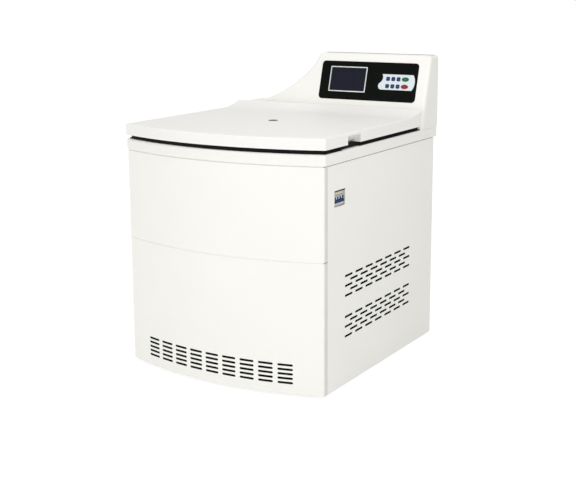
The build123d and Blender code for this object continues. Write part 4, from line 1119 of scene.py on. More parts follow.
class BowedFront:
    """Shape that the bowed front panels are bent to: a wide arc, tight corners and short returns."""

    def __init__(self, node: str, fold_back: float, bend: float) -> None:
        """Work out the arc from a front panel's box.

        Args:
            node: A front panel of the frame.
            fold_back: Depth of its side returns.
            bend: Outer radius of its corners.
        """
        low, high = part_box(node)
        self.half = high.x
        self.apex = low.y
        self.back = high.y
        sagitta = high.y - fold_back - low.y
        self.radius = (self.half ** 2 + sagitta ** 2) / (2 * sagitta)
        self.hub_y = self.apex + self.radius
        self.bend = bend
        self.bend_x = self.half - bend
        self.bend_y = self.hub_y - sqrt((self.radius - bend) ** 2 - self.bend_x ** 2)
        self.lean = atan2(self.bend_x, self.hub_y - self.bend_y)
        self.edge_x = self.radius * sin(self.lean)
        self.bend_length = bend * (pi / 2 - self.lean)
        self.reach = self.edge_x + self.bend_length + self.back - self.bend_y

    def place(self, across: float, up: float, out: float) -> Vector:
        """Bend a point of the flat panel into place.

        Args:
            across: Distance along the panel, which is X itself on the wide arc.
            up: Height.
            out: Distance outward from the panel's face.

        Returns:
            The bent point.
        """
        side = 1 if across >= 0 else -1
        run = abs(across)
        if run <= self.edge_x:
            angle = atan2(run, sqrt(self.radius ** 2 - run ** 2))
            reach = self.radius + out
            return Vector((side * reach * sin(angle), self.hub_y - reach * cos(angle), up))
        run -= self.edge_x
        if run <= self.bend_length:
            angle = self.lean + run / self.bend
            reach = self.bend + out
            return Vector((side * (self.bend_x + reach * sin(angle)), self.bend_y - reach * cos(angle), up))
        return Vector((side * (self.half + out), self.bend_y + run - self.bend_length, up))

    def sunk(self, drop: float) -> Placer:
        """Placer whose zero height lies below the panel's face."""
        return lambda across, up, out: self.place(across, up, out - drop)

    def cuts(self, pitch: float, corner_steps: int = 5) -> list[float]:
        """Distances across at which the flat panel is divided before it is bent.

        Args:
            pitch: Distance between cuts on the wide arc.
            corner_steps: Facets round each tight corner.

        Returns:
            The distances.
        """
        count = round(2 * self.edge_x / pitch)
        wide = [self.edge_x * (2 * index / count - 1) for index in range(count + 1)]
        tight = [self.edge_x + self.bend_length * (index + 1) / corner_steps for index in range(corner_steps)]
        return wide + tight + [-cut for cut in tight]


@dataclass
class Casing:
    """Front, side and rear panels, the pan, posts and pads."""

    sheet: float = 2.0 * MM
    edge: float = 0.7 * MM
    corner: float = 1.5 * MM
    fold_back: float = 25.0 * MM
    bend: float = 5.0 * MM
    # Painted shade strips on the front panels' side returns: how far they stand proud, their gap at the bend
    # and the panel's ends, and their gap at the rear.
    shade_strip: Point3 = (0.3 * MM, 0.6 * MM, 0.8 * MM)
    shade_strip_edge: float = 0.25 * MM
    hem_drop: Point2 = (1.9 * MM, 3.4 * MM)
    hem_height: float = 12.0 * MM
    hem_edge: float = 0.3 * MM
    # Sizes of the black sheet behind the vents, which is painted shade of the cabinet's inside.
    mat_drop: float = 0.5 * MM
    mat_thickness: float = 5.0 * MM
    mat_edge: float = 0.6 * MM
    mat_margin: float = 14.0 * MM
    mat_play: float = 0.02 * MM
    mat_root: float = 0.2 * MM
    mat_crown: Point2 = (0.5 * MM, 0.25 * MM)
    facet: float = 14.0 * MM
    front_slot: SlotPattern = SlotPattern(55.5 * MM, 8.2 * MM, 72.7 * MM, 16.4 * MM)
    front_columns: int = 9
    front_rows: int = 5
    front_bottom: float = 42.0 * MM
    side_slot: SlotPattern = SlotPattern(57.0 * MM, 8.2 * MM, 79.0 * MM, 18.2 * MM)
    side_columns: int = 7
    side_rows: int = 5
    side_first: float = 149.7 * MM
    side_tops: Point2 = (404.0 * MM, 252.5 * MM)
    window: Point2 = (76.0 * MM, 57.0 * MM)
    window_front: float = 72.0 * MM
    window_bottom: float = 666.5 * MM
    window_radius: float = 1.5 * MM
    rear_columns: int = 6
    rear_rows: int = 3
    gland_hole: float = 15.6 * MM
    pan_edge: float = 0.5 * MM
    screw_inset: float = 9.0 * MM
    screw_pitch: float = 190.0 * MM

    def build(self) -> None:
        """Build every panel and dress what stays from the frame."""
        self.front = BowedFront("front_panel_lower", self.fold_back, self.bend)
        self.front_cuts = self.front.cuts(self.facet)
        self.corner_y = self.front.back - self.fold_back
        self.front_panels()
        self.hems()
        self.return_shade_strips()
        for node, side in (("side_panel_left", -1), ("side_panel_right", 1)):
            self.side_panel(node, side)
        self.rear_panel()
        dress(Coat.PRIMER, "base_pan", "corner_posts")
        dress(Coat.RUBBER, "rest_pads")
        dress(Coat.BLACK_PLASTIC, "cable_gland")
        soften(self.pan_edge, "base_pan", "cable_gland")

    def front_panels(self) -> None:
        """The two bowed panels, the lower one with its vents."""
        for node in ("front_panel_lower", "front_panel_upper"):
            low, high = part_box(node)
            outline = Opening.between((-self.front.reach, low.z), (self.front.reach, high.z), self.edge)
            slots = []
            if node == "front_panel_lower":
                first = (-(self.front_columns - 1) / 2 * self.front_slot.pitch_across,
                         low.z + self.front_bottom + (self.front_rows - 1) * self.front_slot.pitch_up)
                slots = self.front_slot.block(first, self.front_columns, self.front_rows)
                self.shade_mat("front_vent_shade_mat", slots, self.front.place, self.front_cuts)
            form = sheet_form(outline, slots, self.sheet, self.edge, self.front.place, self.front_cuts)
            add_piece(f"{node}_skin", form, Coat.PANEL, Seat(node_body(node), "panel_paint", (node,)))

    def hems(self) -> None:
        """Folded hems that close the two joints across the front from behind."""
        joints = (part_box("front_panel_lower")[1].z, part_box("front_panel_upper")[1].z)
        form = bmesh.new()
        for joint, drop in zip(joints, self.hem_drop):
            outline = Opening((0.0, joint), (2 * self.front.edge_x, self.hem_height), self.edge)
            strip = sheet_form(outline, (), self.sheet, self.hem_edge, self.front.sunk(drop), self.front_cuts)
            mesh = bpy.data.meshes.new("hem")
            strip.to_mesh(mesh)
            strip.free()
            form.from_mesh(mesh)
            bpy.data.meshes.remove(mesh)
        add_piece("front_joint_hems", form, Coat.PANEL, Seat(node_body("front_panel_upper"), "panel_paint"))

    def return_shade_strips(self) -> None:
        """Light grey strip on each side return of the front panels: painted shade standing in for the shade
        on the returns, which face away from the light.
        """
        proud, gap, back_gap = self.shade_strip
        outer = self.front.half + proud
        start, end = self.front.bend_y + gap, self.front.back - back_gap
        form = bmesh.new()
        for node in ("front_panel_lower", "front_panel_upper"):
            low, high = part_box(node)
            for side in (-1, 1):
                left, right = sorted((side * outer, side * (outer - 2 * self.sheet)))
                block_between(form, (left, start, low.z + gap), (right, end, high.z - gap), self.shade_strip_edge, 1)
        add_piece("front_return_shade_strips", form, Coat.RETURN_SHADE, Seat(node_body("front_panel_lower"), "panel_paint"))

    def shade_mat(self, name: str, slots: Sequence[Opening], place: Placer, cuts: Iterable[float] = ()) -> None:
        """Black sheet behind a block of slots, swelling a little way into them: painted shade standing in for
        the dark inside of the cabinet seen through the slots.

        Args:
            name: Name of the piece.
            slots: The slots.
            place: Placer of the sheet that the slots are in.
            cuts: Distances across at which the mat is divided, so that it can bend.
        """
        reach = slots[0].size[0] / 2 + self.mat_margin
        acrosses = [slot.centre[0] for slot in slots]
        ups = [slot.centre[1] for slot in slots]
        outline = Opening.between((min(acrosses) - reach, min(ups) - self.mat_margin),
                                  (max(acrosses) + reach, max(ups) + self.mat_margin), self.mat_margin / 2)
        form = sheet_form(outline, (), self.mat_thickness, self.mat_edge,
                          lambda across, up, out: place(across, up, out - self.sheet), cuts)
        crown, fall = self.mat_crown
        rings = ((self.mat_play, self.sheet + self.mat_root), (self.mat_play, self.mat_drop + fall),
                 (crown, self.mat_drop))
        for slot in slots:
            loft(form, [[place(u, v, -drop) for u, v in slot.loop(-inset)] for inset, drop in rings])
        add_piece(name, form, Coat.VENT_SHADE, Seat("cabinet", "pad_rubber"))

    def side_vents(self, floor: float) -> list[Opening]:
        """Both blocks of staggered slots of a side panel.

        Args:
            floor: Height of the panel's lower edge.

        Returns:
            The slots, the upper block's first.
        """
        first = self.corner_y + self.side_first + self.side_slot.length / 2
        slots = []
        for top in self.side_tops:
            slots += self.side_slot.block((first, floor + top), self.side_columns, self.side_rows, True)
        return slots

    def side_panel(self, node: str, side: int) -> None:
        """A flat side panel with its vents, and the breaker's window on the right.

        Args:
            node: Node of the frame that it stands for.
            side: 1 for the right panel and -1 for the left.
        """
        low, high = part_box(node)
        outer = high.x if side > 0 else low.x
        outline = Opening.between((low.y, low.z), (high.y, high.z), self.corner)
        vents = self.side_vents(low.z)
        openings: list[Shape] = list(vents)
        if side > 0:
            front, bottom = self.corner_y + self.window_front, low.z + self.window_bottom
            far, top = front + self.window[0], bottom + self.window[1]
            openings.append(Opening.between((front, bottom), (far, top), self.window_radius))
        place: Placer = lambda across, up, out: Vector((outer + side * out, across, up))
        form = sheet_form(outline, openings, self.sheet, self.edge, place)
        add_piece(f"{node}_skin", form, Coat.PANEL, Seat(node_body(node), "panel_paint", (node,)))
        hand = "right" if side > 0 else "left"
        half = len(vents) // 2
        for level, block in (("upper", vents[:half]), ("lower", vents[half:])):
            self.shade_mat(f"{hand}_{level}_vent_shade_mat", block, place)

    def rear_panel(self) -> None:
        """Flat rear panel with three rows of slots, the gland's hole and its screws."""
        low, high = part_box("rear_panel")
        outline = Opening.between((low.x, low.z), (high.x, high.z), self.corner)
        pitch_up = self.side_slot.pitch_up
        first = (-(self.rear_columns - 1) / 2 * self.side_slot.pitch_across,
                 low.z + self.side_tops[0] + (self.rear_rows - 1) / 2 * pitch_up)
        openings: list[Shape] = list(self.side_slot.block(first, self.rear_columns, self.rear_rows))
        gland = middle("cable_gland")
        openings.append(Opening((gland.x, gland.z), (self.gland_hole, self.gland_hole), self.gland_hole / 2))
        form = sheet_form(outline, openings, self.sheet, self.edge,
                          lambda across, up, out: Vector((across, high.y + out, up)))
        body = node_body("rear_panel")
        add_piece("rear_panel_skin", form, Coat.PANEL, Seat(body, "panel_paint", ("rear_panel",)))
        run = high.z - low.z - 2 * self.screw_inset
        count = round(run / self.screw_pitch)
        spots = [Vector((x, high.y, low.z + self.screw_inset + run * index / count))
                 for x in (low.x + self.screw_inset, high.x - self.screw_inset) for index in range(count + 1)]
        screws("rear_panel_screws", spots, REARWARD, body=body)


# Deck, lid and lock

@dataclass
class DeckAndLid:
    """Deck with its seals, the lid with its sight port, the hinge and the lock.

    Each of the low black strips outside the seal, painted shadow on the deck in the narrow gap under the lid,
    is given as its start and end along Y, its reach and its rise, in millimetres.
    """

    broken_edge: float = 0.5 * MM
    bracket_foot: Point2 = (44.0 * MM, 5.0 * MM)
    bracket_bolt: float = 15.0 * MM
    bracket_bolt_head: float = 4.5 * MM
    side_screws: tuple[float, ...] = (-0.30, -0.16, -0.02, 0.12, 0.26)
    side_screw_x: float = 385.0 * MM
    front_screws: tuple[Point2, ...] = ((0.0, -0.435), (0.10, -0.432), (0.29, -0.392))
    rear_screws: tuple[Point2, ...] = ((0.0, 0.272), (0.17, 0.272))
    liner_screw_head: float = 3.5 * MM
    seal_width: float = 12.0 * MM
    seal_edge: float = 0.6 * MM
    seal_lap: float = 2.0 * MM
    seal_step: float = 310.0 * MM
    seal_rear: float = 350.0 * MM
    seal_relief: float = 4.2 * MM
    # Black strips on the deck outside the seal: painted shadow in the gap under the lid, left out at the
    # finger notches where light reaches the deck.
    shade_lips: tuple[tuple[float, float, float, float], ...] = (
        (-404.0, -285.0, 10.0, 4.0), (-152.0, 349.0, 11.0, 3.0))

    def build(self) -> None:
        """Dress the pieces and add the bolts and screws."""
        dress(Coat.DECK, "deck")
        dress(Coat.LID, "lid_shell")
        dress(Coat.LINER, "lid_liner")
        dress(Coat.RUBBER, "chamber_gasket")
        dress(Coat.BLACK_PLASTIC, "sight_port_bezel")
        dress(Coat.GLASS, "sight_port_glass")
        dress(Coat.BRIGHT, "lid_strikers", "hinge_shaft", "lock_shaft")
        dress(Coat.SHROUD, "lid_hinge_arms", "hinge_brackets")
        dress(Coat.ENAMEL, "lock_actuator")
        soften(self.broken_edge, "deck", "lid_shell", "lid_liner", "lid_hinge_arms", "hinge_brackets",
               "lock_actuator", "lock_shaft")
        self.seal_ends_and_shade_lips()
        self.bracket_bolts()
        self.liner_screws()

    def seal_ends_and_shade_lips(self) -> None:
        """Last stretch of the edge seal on each side, and the low black strips outside it, which are painted
        shadow on the deck under the lid.

        The seal is relieved where the lid's rear corner swings down, and the lips stop at the finger notches.
        """
        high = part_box("chamber_gasket")[1]
        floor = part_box("hinge_brackets")[0].z
        inner, lap = high.x - self.seal_width, self.seal_lap
        strips = [(inner, high.x, high.y - lap, self.seal_step, high.z),
                  (inner, high.x, self.seal_step - lap, self.seal_rear, high.z - self.seal_relief)]
        strips += [(high.x - lap, high.x + reach * MM, start * MM, end * MM, floor + rise * MM)
                   for start, end, reach, rise in self.shade_lips]
        form = bmesh.new()
        for side in (-1, 1):
            for near, far, start, end, top in strips:
                left, right = sorted((side * near, side * far))
                block_between(form, (left, start, floor), (right, end, top), self.seal_edge)
        add_piece("edge_seal_ends_and_shade_lips", form, Coat.RUBBER, Seat(node_body("chamber_gasket"), "pad_rubber"))

    def bracket_bolts(self) -> None:
        """Two bolts through the foot of each hinge bracket."""
        low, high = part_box("hinge_brackets")
        centre_x = high.x - self.bracket_foot[0] / 2
        y = middle("hinge_shaft").y
        top = low.z + self.bracket_foot[1]
        spots = [Vector((side * centre_x + step, y, top)) for side in (-1, 1)
                 for step in (-self.bracket_bolt, self.bracket_bolt)]
        screws("hinge_bracket_bolts", spots, UPWARD, self.bracket_bolt_head)

    def liner_screws(self) -> None:
        """Screws round the liner, on the lid's underside."""
        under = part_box("lid_shell")[0].z
        sides = [(self.side_screw_x, y) for y in self.side_screws]
        plan = [*sides, *self.front_screws, *self.rear_screws]
        both = {(side * x, y) for x, y in plan for side in (-1, 1)}
        spots = [Vector((x, y, under)) for x, y in sorted(both)]
        screws("lid_liner_screws", spots, -UPWARD, self.liner_screw_head, node_body("lid_liner"))


# Console

class LeaningFace:
    """Leaning face of the console: distances across it, up it and out from its fascia."""

    def __init__(self, lean: float) -> None:
        """Set the face's directions.

        Args:
            lean: How far it leans back, in radians.
        """
        self.right = Vector((1.0, 0.0, 0.0))
        self.up = Vector((0.0, sin(lean), cos(lean)))
        self.out = Vector((0.0, -cos(lean), sin(lean)))
        self.level = span("console_fascia", self.out)[1]

    def place(self, across: float, up: float, out: float) -> Vector:
        """Point at distances across, up and out."""
        return self.right * across + self.up * up + self.out * (self.level + out)

    def raised(self, lift: float) -> Placer:
        """Placer whose zero height lies above the fascia.

        Args:
            lift: Height over the fascia.

        Returns:
            The placer.
        """
        return lambda across, up, out: self.place(across, up, out + lift)

    def region(self, node: str) -> tuple[Point2, Point2]:
        """Centre and size of a node on the face.

        Args:
            node: Name of the node.

        Returns:
            The centre and the size, each across and up.
        """
        left, right = span(node, self.right)
        low, high = span(node, self.up)
        return ((left + right) / 2, (low + high) / 2), (right - left, high - low)


def ellipse(centre: Point2, size: Point2, steps: int = 48) -> Outline:
    """Ellipse as an outline.

    Args:
        centre: Its middle.
        size: Its full width and height.
        steps: Number of points.

    Returns:
        The outline, anticlockwise.
    """
    angles = [2 * pi * step / steps for step in range(steps)]
    return Outline(tuple((centre[0] + size[0] / 2 * cos(angle), centre[1] + size[1] / 2 * sin(angle))
                         for angle in angles))


def stem(low_u: float, low_v: float, high_u: float, high_v: float) -> tuple[Point2, ...]:
    """Corners of a bar of a mark, anticlockwise from its lower left one."""
    return (low_u, low_v), (high_u, low_v), (high_u, high_v), (low_u, high_v)


class Mark(Enum):
    """Plain sign printed on a key, as polygons in a square from -1 to 1."""

    UP = (((0.0, 1.0), (-0.8, 0.1), (0.8, 0.1)), stem(-0.25, -0.9, 0.25, 0.1))
    DOWN = (((0.0, -1.0), (0.8, -0.1), (-0.8, -0.1)), stem(-0.25, -0.1, 0.25, 0.9))
    LEFT = (((-1.0, 0.0), (-0.1, -0.8), (-0.1, 0.8)), stem(-0.1, -0.25, 0.9, 0.25))
    RIGHT = (((1.0, 0.0), (0.1, 0.8), (0.1, -0.8)), stem(-0.9, -0.25, 0.1, 0.25))
    LIST = (stem(-0.9, -0.75, 0.9, -0.45), stem(-0.9, -0.15, 0.9, 0.15), stem(-0.9, 0.45, 0.9, 0.75))
    ENTER = (((-0.9, -0.3), (-0.2, -0.85), (-0.2, 0.25)), stem(-0.2, -0.45, 0.6, -0.15),
             stem(0.6, -0.45, 0.9, 0.8))
    START = (((-0.7, -0.9), (0.9, 0.0), (-0.7, 0.9)),)
    STOP = (stem(-0.75, -0.75, 0.75, 0.75),)


@dataclass
class Console:
    """Housing, fascia, display and keypad.

    Profiles run from outside in: the keys' one pairs inset and height, and a rim pairs a share of the way in
    with a height. These heights and the places of the cover's screws are in millimetres.
    """

    lean: float = radians(15.83)
    fascia_edge: float = 0.4 * MM
    key_dome: tuple[Point2, ...] = (
        (0.0, 0.7), (0.0, 1.8), (0.12, 2.06), (0.4, 2.26), (0.9, 2.38), (1.8, 2.46), (3.2, 2.5))
    key_sharp: float = 50.0
    key_radius: float = 4.0 * MM
    key_gap: float = 0.35 * MM
    oval_ratio: float = 1.3
    bezel_rim: tuple[Point2, ...] = (
        (0.0, 0.0), (0.0, 1.5), (0.03, 1.92), (0.10, 2.24), (0.20, 2.4), (0.42, 2.4), (0.52, 2.28),
        (0.60, 1.9), (0.60, 0.0))
    reveal_rim: tuple[Point2, ...] = (
        (0.58, 0.0), (0.58, 1.9), (0.62, 1.95), (0.96, 1.5), (1.0, 1.42), (1.0, 0.0))
    bezel_radius: float = 3.0 * MM
    bezel_sharp: float = 25.0
    screen_radius: float = 0.3 * MM
    screen_lift: float = 1.4 * MM
    screen_edge: float = 0.1 * MM
    screen_margin: Point2 = (4.0 * MM, 3.4 * MM)
    active_radius: float = 0.2 * MM
    active_thickness: float = 0.3 * MM
    active_edge: float = 0.02 * MM
    active_lift: float = 0.04 * MM
    plate_lift: float = 1.2 * MM
    plate_edge: float = 0.3 * MM
    plate_sharp: float = 60.0
    plate_corner: float = 1.0 * MM
    plate_bulge: Point2 = (9.0 * MM, 0.62)
    plate_tip: Point2 = (13.5 * MM, 0.22)
    plate_waist: Point2 = (5.0 * MM, 0.46)
    plate_crest: Point2 = (4.0 * MM, 0.70)
    wave_steps: tuple[int, int] = (14, 12)
    mark_size: float = 1.7 * MM
    mark_rise: float = 0.06 * MM
    mark_root: float = 0.3 * MM
    marks: tuple[tuple[str, Mark], ...] = (
        ("key_1", Mark.LIST), ("key_2", Mark.UP), ("key_3", Mark.ENTER), ("key_4", Mark.LEFT),
        ("key_5", Mark.DOWN), ("key_6", Mark.RIGHT), ("key_start", Mark.START), ("key_stop", Mark.STOP))
    swept_run: float = 356.0 * MM
    # Dark grey strip along the housing's top rear edge: its depth, inset from the right and rise.
    edge_strip: Point3 = (22.0 * MM, 14.0 * MM, 0.25 * MM)
    cover_screw_head: float = 3.5 * MM
    cover_screws: tuple[Point2, ...] = (
        (-410.0, 14.0), (-205.0, 14.0), (0.0, 14.0), (205.0, 14.0), (410.0, 14.0), (412.0, 140.0),
        (412.0, 262.0), (240.0, 268.0), (80.0, 268.0), (-72.0, 262.0), (-180.0, 118.0), (-320.0, 66.0),
        (-410.0, 56.0))

    def build(self) -> None:
        """Dress the housing and build what is set into its face."""
        self.face = LeaningFace(self.lean)
        dress(Coat.CONSOLE, "console_housing", "console_back")
        dress(Coat.FASCIA, "console_fascia")
        dress(Coat.BOARD, "control_board")
        soften(self.fascia_edge, "console_fascia")
        self.bezel()
        self.display()
        self.keypad()
        for node, mark in self.marks:
            self.key(node, mark)
        self.cover()

    def bezel(self) -> None:
        """Silver frame round the display, with a black reveal that slopes down to the glass."""
        centre, size = self.face.region("display_bezel")
        outer = Opening(centre, size, self.bezel_radius)
        inner = Opening(*self.face.region("display_screen"), self.screen_radius)
        grown, shrunk = outer.loop(0.0), inner.loop(0.0)
        for name, rim, finish, seat in (
                ("display_bezel_frame", self.bezel_rim, Coat.SILVER,
                 Seat("cabinet", "bezel_silver", ("display_bezel",))),
                ("display_reveal", self.reveal_rim, Coat.BLACK_PLASTIC, Seat("cabinet", "screen_glass"))):
            rings = []
            for share, height in rim:
                ring = [self.face.place(u * (1 - share) + s * share, v * (1 - share) + t * share, height * MM)
                        for (u, v), (s, t) in zip(grown, shrunk)]
                rings.append(ring)
            form = bmesh.new()
            bridge(form, rings + rings[:1])
            bmesh.ops.remove_doubles(form, verts=form.verts[:], dist=KNIFE_WIDTH)
            add_piece(name, form, finish, seat, self.bezel_sharp)

    def display(self) -> None:
        """Black-bordered glass with the unlit active area in it."""
        centre, size = self.face.region("display_screen")
        form = sheet_form(Opening(centre, size, self.screen_radius), (), self.screen_lift, self.screen_edge,
                          self.face.raised(self.screen_lift))
        add_piece("display_border", form, Coat.SURROUND, Seat("cabinet", "screen_glass", ("display_screen",)))
        active = (size[0] - 2 * self.screen_margin[0], size[1] - 2 * self.screen_margin[1])
        form = sheet_form(Opening(centre, active, self.active_radius), (), self.active_thickness,
                          self.active_edge, self.face.raised(self.screen_lift + self.active_lift))
        add_piece("display_active_area", form, Coat.DISPLAY, Seat("cabinet", "screen_glass"))

    def plate_outline(self) -> Outline:
        """Outline of the keypad plate, with a bulged right end and a wave-shaped left end.

        Returns:
            The outline, anticlockwise.
        """
        (middle_u, middle_v), (width, height) = self.face.region("keypad_plate")
        left = middle_u - width / 2 + self.plate_tip[0]
        right = middle_u + width / 2 - self.plate_bulge[0]
        low, high = middle_v - height / 2, middle_v + height / 2
        bulge, tip, waist, crest = (
            (start + out * reach, low + share * height) for start, out, (reach, share) in (
                (right, 1, self.plate_bulge), (left, -1, self.plate_tip), (left, -1, self.plate_waist),
                (left, 1, self.plate_crest)))
        corner = (right - self.plate_corner, low)
        wide, tight = self.wave_steps
        points = [*arc_through((right, high), bulge, corner, wide), corner,
                  *arc_through((left, low), tip, waist, wide),
                  *arc_through(waist, crest, (left, high), tight), (left, high)]
        return Outline(tuple(reversed(points)))

    def key_outline(self, node: str) -> Shape:
        """Outline of a key's cap, an ellipse for the wide ones.

        Args:
            node: Node of the frame that the key stands for.

        Returns:
            The outline.
        """
        centre, size = self.face.region(node)
        if size[0] > self.oval_ratio * size[1]:
            return ellipse(centre, size)
        return Opening(centre, size, self.key_radius)

    def keypad(self) -> None:
        """Pale plate with a hole for each key."""
        holes = [Outline(tuple(self.key_outline(node).loop(self.key_gap))) for node, _ in self.marks]
        form = sheet_form(self.plate_outline(), holes, self.plate_lift, self.plate_edge,
                          self.face.raised(self.plate_lift))
        seat = Seat("cabinet", "plate_pale", ("keypad_plate",))
        add_piece("keypad_overlay", form, Coat.OVERLAY, seat, self.plate_sharp)

    def key(self, node: str, mark: Mark) -> None:
        """A domed key cap with its printed mark.

        Args:
            node: Node of the frame that it stands for.
            mark: The mark on it.
        """
        finish, slot = {Mark.START: (Coat.KEY_GREEN, "key_green"),
                        Mark.STOP: (Coat.KEY_RED, "key_red")}.get(mark, (Coat.KEY_BLUE, "key_blue"))
        outline = self.key_outline(node)
        form = bmesh.new()
        loft(form, [[self.face.place(u, v, height * MM) for u, v in outline.loop(-inset * MM)]
                    for inset, height in self.key_dome])
        add_piece(f"{node}_cap", form, finish, Seat(node_body(node), slot, (node,)), self.key_sharp)
        (across, up), _ = self.face.region(node)
        top = self.key_dome[-1][1] * MM
        form = bmesh.new()
        for polygon in mark.value:
            loft(form, [[self.face.place(across + u * self.mark_size, up + v * self.mark_size, height)
                         for u, v in polygon] for height in (top - self.mark_root, top + self.mark_rise)])
        add_piece(f"{node}_mark", form, Coat.KEY_MARK, Seat(node_body(node), "plate_pale"))

    def cover(self) -> None:
        """Dark grey strip along the housing's top rear edge, and the screws round the cover."""
        depth, inset, rise = self.edge_strip
        low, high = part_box("console_housing")
        form = bmesh.new()
        block_between(form, (low.x + self.swept_run, high.y - depth, high.z - 3 * rise),
                      (high.x - inset, high.y, high.z + rise), rise)
        add_piece("console_top_edge_strip", form, Coat.PRIMER, Seat("cabinet", "frame_steel"))
        back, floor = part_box("console_back")[1].y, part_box("deck")[1].z
        spots = [Vector((x * MM, back, floor + z * MM)) for x, z in self.cover_screws]
        screws("console_cover_screws", spots, REARWARD, self.cover_screw_head)


# Breaker

@dataclass
class Breaker:
    """Four-pole breaker behind the side window, with its ganged toggles.

    The horn is given by its radius and the angles where it starts and ends, and the black edging at the
    window, which is also painted shadow, by its height, half its depth and how far it lies behind the panel's
    face.
    """

    poles: int = 4
    pitch: float = 18.0 * MM
    pole_gap: float = 1.4 * MM
    body_edge: float = 0.5 * MM
    drum: float = 11.0 * MM
    barrel_radius: Point2 = (8.6 * MM, 8.0 * MM)
    barrel_steps: int = 64
    rib_edge: float = 0.3 * MM
    horn: Point3 = (10.6 * MM, radians(-32.0), radians(58.0))
    horn_edge: float = 0.4 * MM
    horn_steps: int = 12
    half_window: Point2 = (37.9 * MM, 28.4 * MM)
    half_nose: Point2 = (35.8 * MM, 22.5 * MM)
    # Black edging at the window's front and top edges, a rubber edging that is also painted shadow.
    shade_strip: Point3 = (4.5 * MM, 4.2 * MM, 0.6 * MM)
    shade_strip_gap: float = 0.1 * MM
    filler_lap: float = 0.2 * MM
    filler_edge: float = 0.4 * MM
    shoulder_drop: float = 0.4 * MM
    reach: float = 19.5 * MM
    hang: float = radians(58.0)
    paddle: Point3 = (14.0 * MM, 7.2 * MM, 7.6 * MM)
    paddle_edge: float = 1.3 * MM
    paddle_steps: int = 3
    tie_bar: Point2 = (7.5 * MM, 9.5 * MM)
    tie_inset: float = 1.2 * MM
    tie_edge: float = 0.8 * MM
    # Size of the pale strip on each paddle, a printed mark and a painted highlight.
    mark: Point3 = (6.5 * MM, 3.0 * MM, 0.2 * MM)
    mark_and_highlight_inset: float = 5.5 * MM
    mark_and_highlight_edge: float = 0.08 * MM
    sharp: float = 35.0
    terminal_rise: float = 17.0 * MM
    terminal_head: float = 2.6 * MM

    def build(self) -> None:
        """Dress the body and build the toggles."""
        dress(Coat.BREAKER, "breaker_body")
        soften(self.body_edge, "breaker_body")
        low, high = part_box("breaker_lever")
        self.axis = Vector((low.x + self.drum, (low.y + high.y) / 2, high.z - self.drum))
        self.turn = Matrix.Translation(self.axis) @ Matrix.Rotation(self.hang, 4, "Y")
        self.pole_middles = [(index - (self.poles - 1) / 2) * self.pitch for index in range(self.poles)]
        self.half_width = (high.y - low.y) / 2
        self.barrel()
        self.toggles()
        self.marks()
        self.shoulders()
        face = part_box("breaker_body")[1].x
        spots = [Vector((face, self.axis.y + y, self.axis.z + self.terminal_rise)) for y in self.pole_middles]
        screws("breaker_terminals", spots, Vector((1, 0, 0)), self.terminal_head)

    def barrel(self) -> None:
        """Pale drum with a low rib at each pole."""
        (rib, core), edge = self.barrel_radius, self.rib_edge
        profile = [(core, -self.half_width)]
        for y in self.pole_middles:
            start = max(y - self.pitch / 2 + self.pole_gap, -self.half_width)
            end = min(y + self.pitch / 2 - self.pole_gap, self.half_width)
            profile += [(core, start), (rib - edge, start), (rib, start + edge), (rib, end - edge),
                        (rib - edge, end), (core, end)]
        profile.append((core, self.half_width))
        clean = [point for point, last in zip(profile, [None, *profile]) if point != last]
        form = turned_form(clean, REARWARD, self.axis, self.barrel_steps)
        add_piece("breaker_drum", form, Coat.BREAKER, Seat("breaker_toggle", "breaker_beige"), self.sharp)

    def toggles(self) -> None:
        """A blue horn round the drum and a paddle at each pole, and the bar that ties them."""
        form = bmesh.new()
        length, width, thickness = self.paddle
        outer, start, end = self.horn
        inner, half, edge = self.barrel_radius[1], width / 2, self.horn_edge
        turns = [start + (end - start) * step / self.horn_steps for step in range(self.horn_steps + 1)]
        for y in self.pole_middles:
            rings = []
            for inset, across in ((edge, -half), (0.0, edge - half), (0.0, half - edge), (edge, half)):
                arc = [((outer - inset) * cos(turn), (outer - inset) * sin(turn)) for turn in turns]
                arc += [(inner * cos(turn), inner * sin(turn)) for turn in reversed(turns)]
                rings.append([self.axis + Vector((u, y + across, -v)) for u, v in arc])
            loft(form, rings)
            place = self.turn @ Matrix.Translation((self.reach - length / 2, y, 0.0))
            rounded_block(form, (length, width, thickness), self.paddle_edge, place, self.paddle_steps)
        depth, height = self.tie_bar
        place = self.turn @ Matrix.Translation((self.reach - depth / 2 - self.tie_inset, 0.0, 0.0))
        rounded_block(form, (depth, 2 * self.half_width, height), self.tie_edge, place)
        seat = Seat("breaker_toggle", "lever_blue", ("breaker_lever",))
        add_piece("breaker_toggles", form, Coat.LEVER, seat, self.sharp)

    def marks(self) -> None:
        """Pale strip on the upper side of each paddle: a printed mark, widened into a painted highlight where
        the upper face catches the light.
        """
        form = bmesh.new()
        for y in self.pole_middles:
            place = self.turn @ Matrix.Translation((self.reach - self.mark_and_highlight_inset, y, self.paddle[2] / 2))
            rounded_block(form, self.mark, self.mark_and_highlight_edge, place, 1)
        add_piece("breaker_toggle_marks_and_highlights", form, Coat.TOGGLE_MARK_AND_HIGHLIGHT, Seat("breaker_toggle", "plate_pale"))

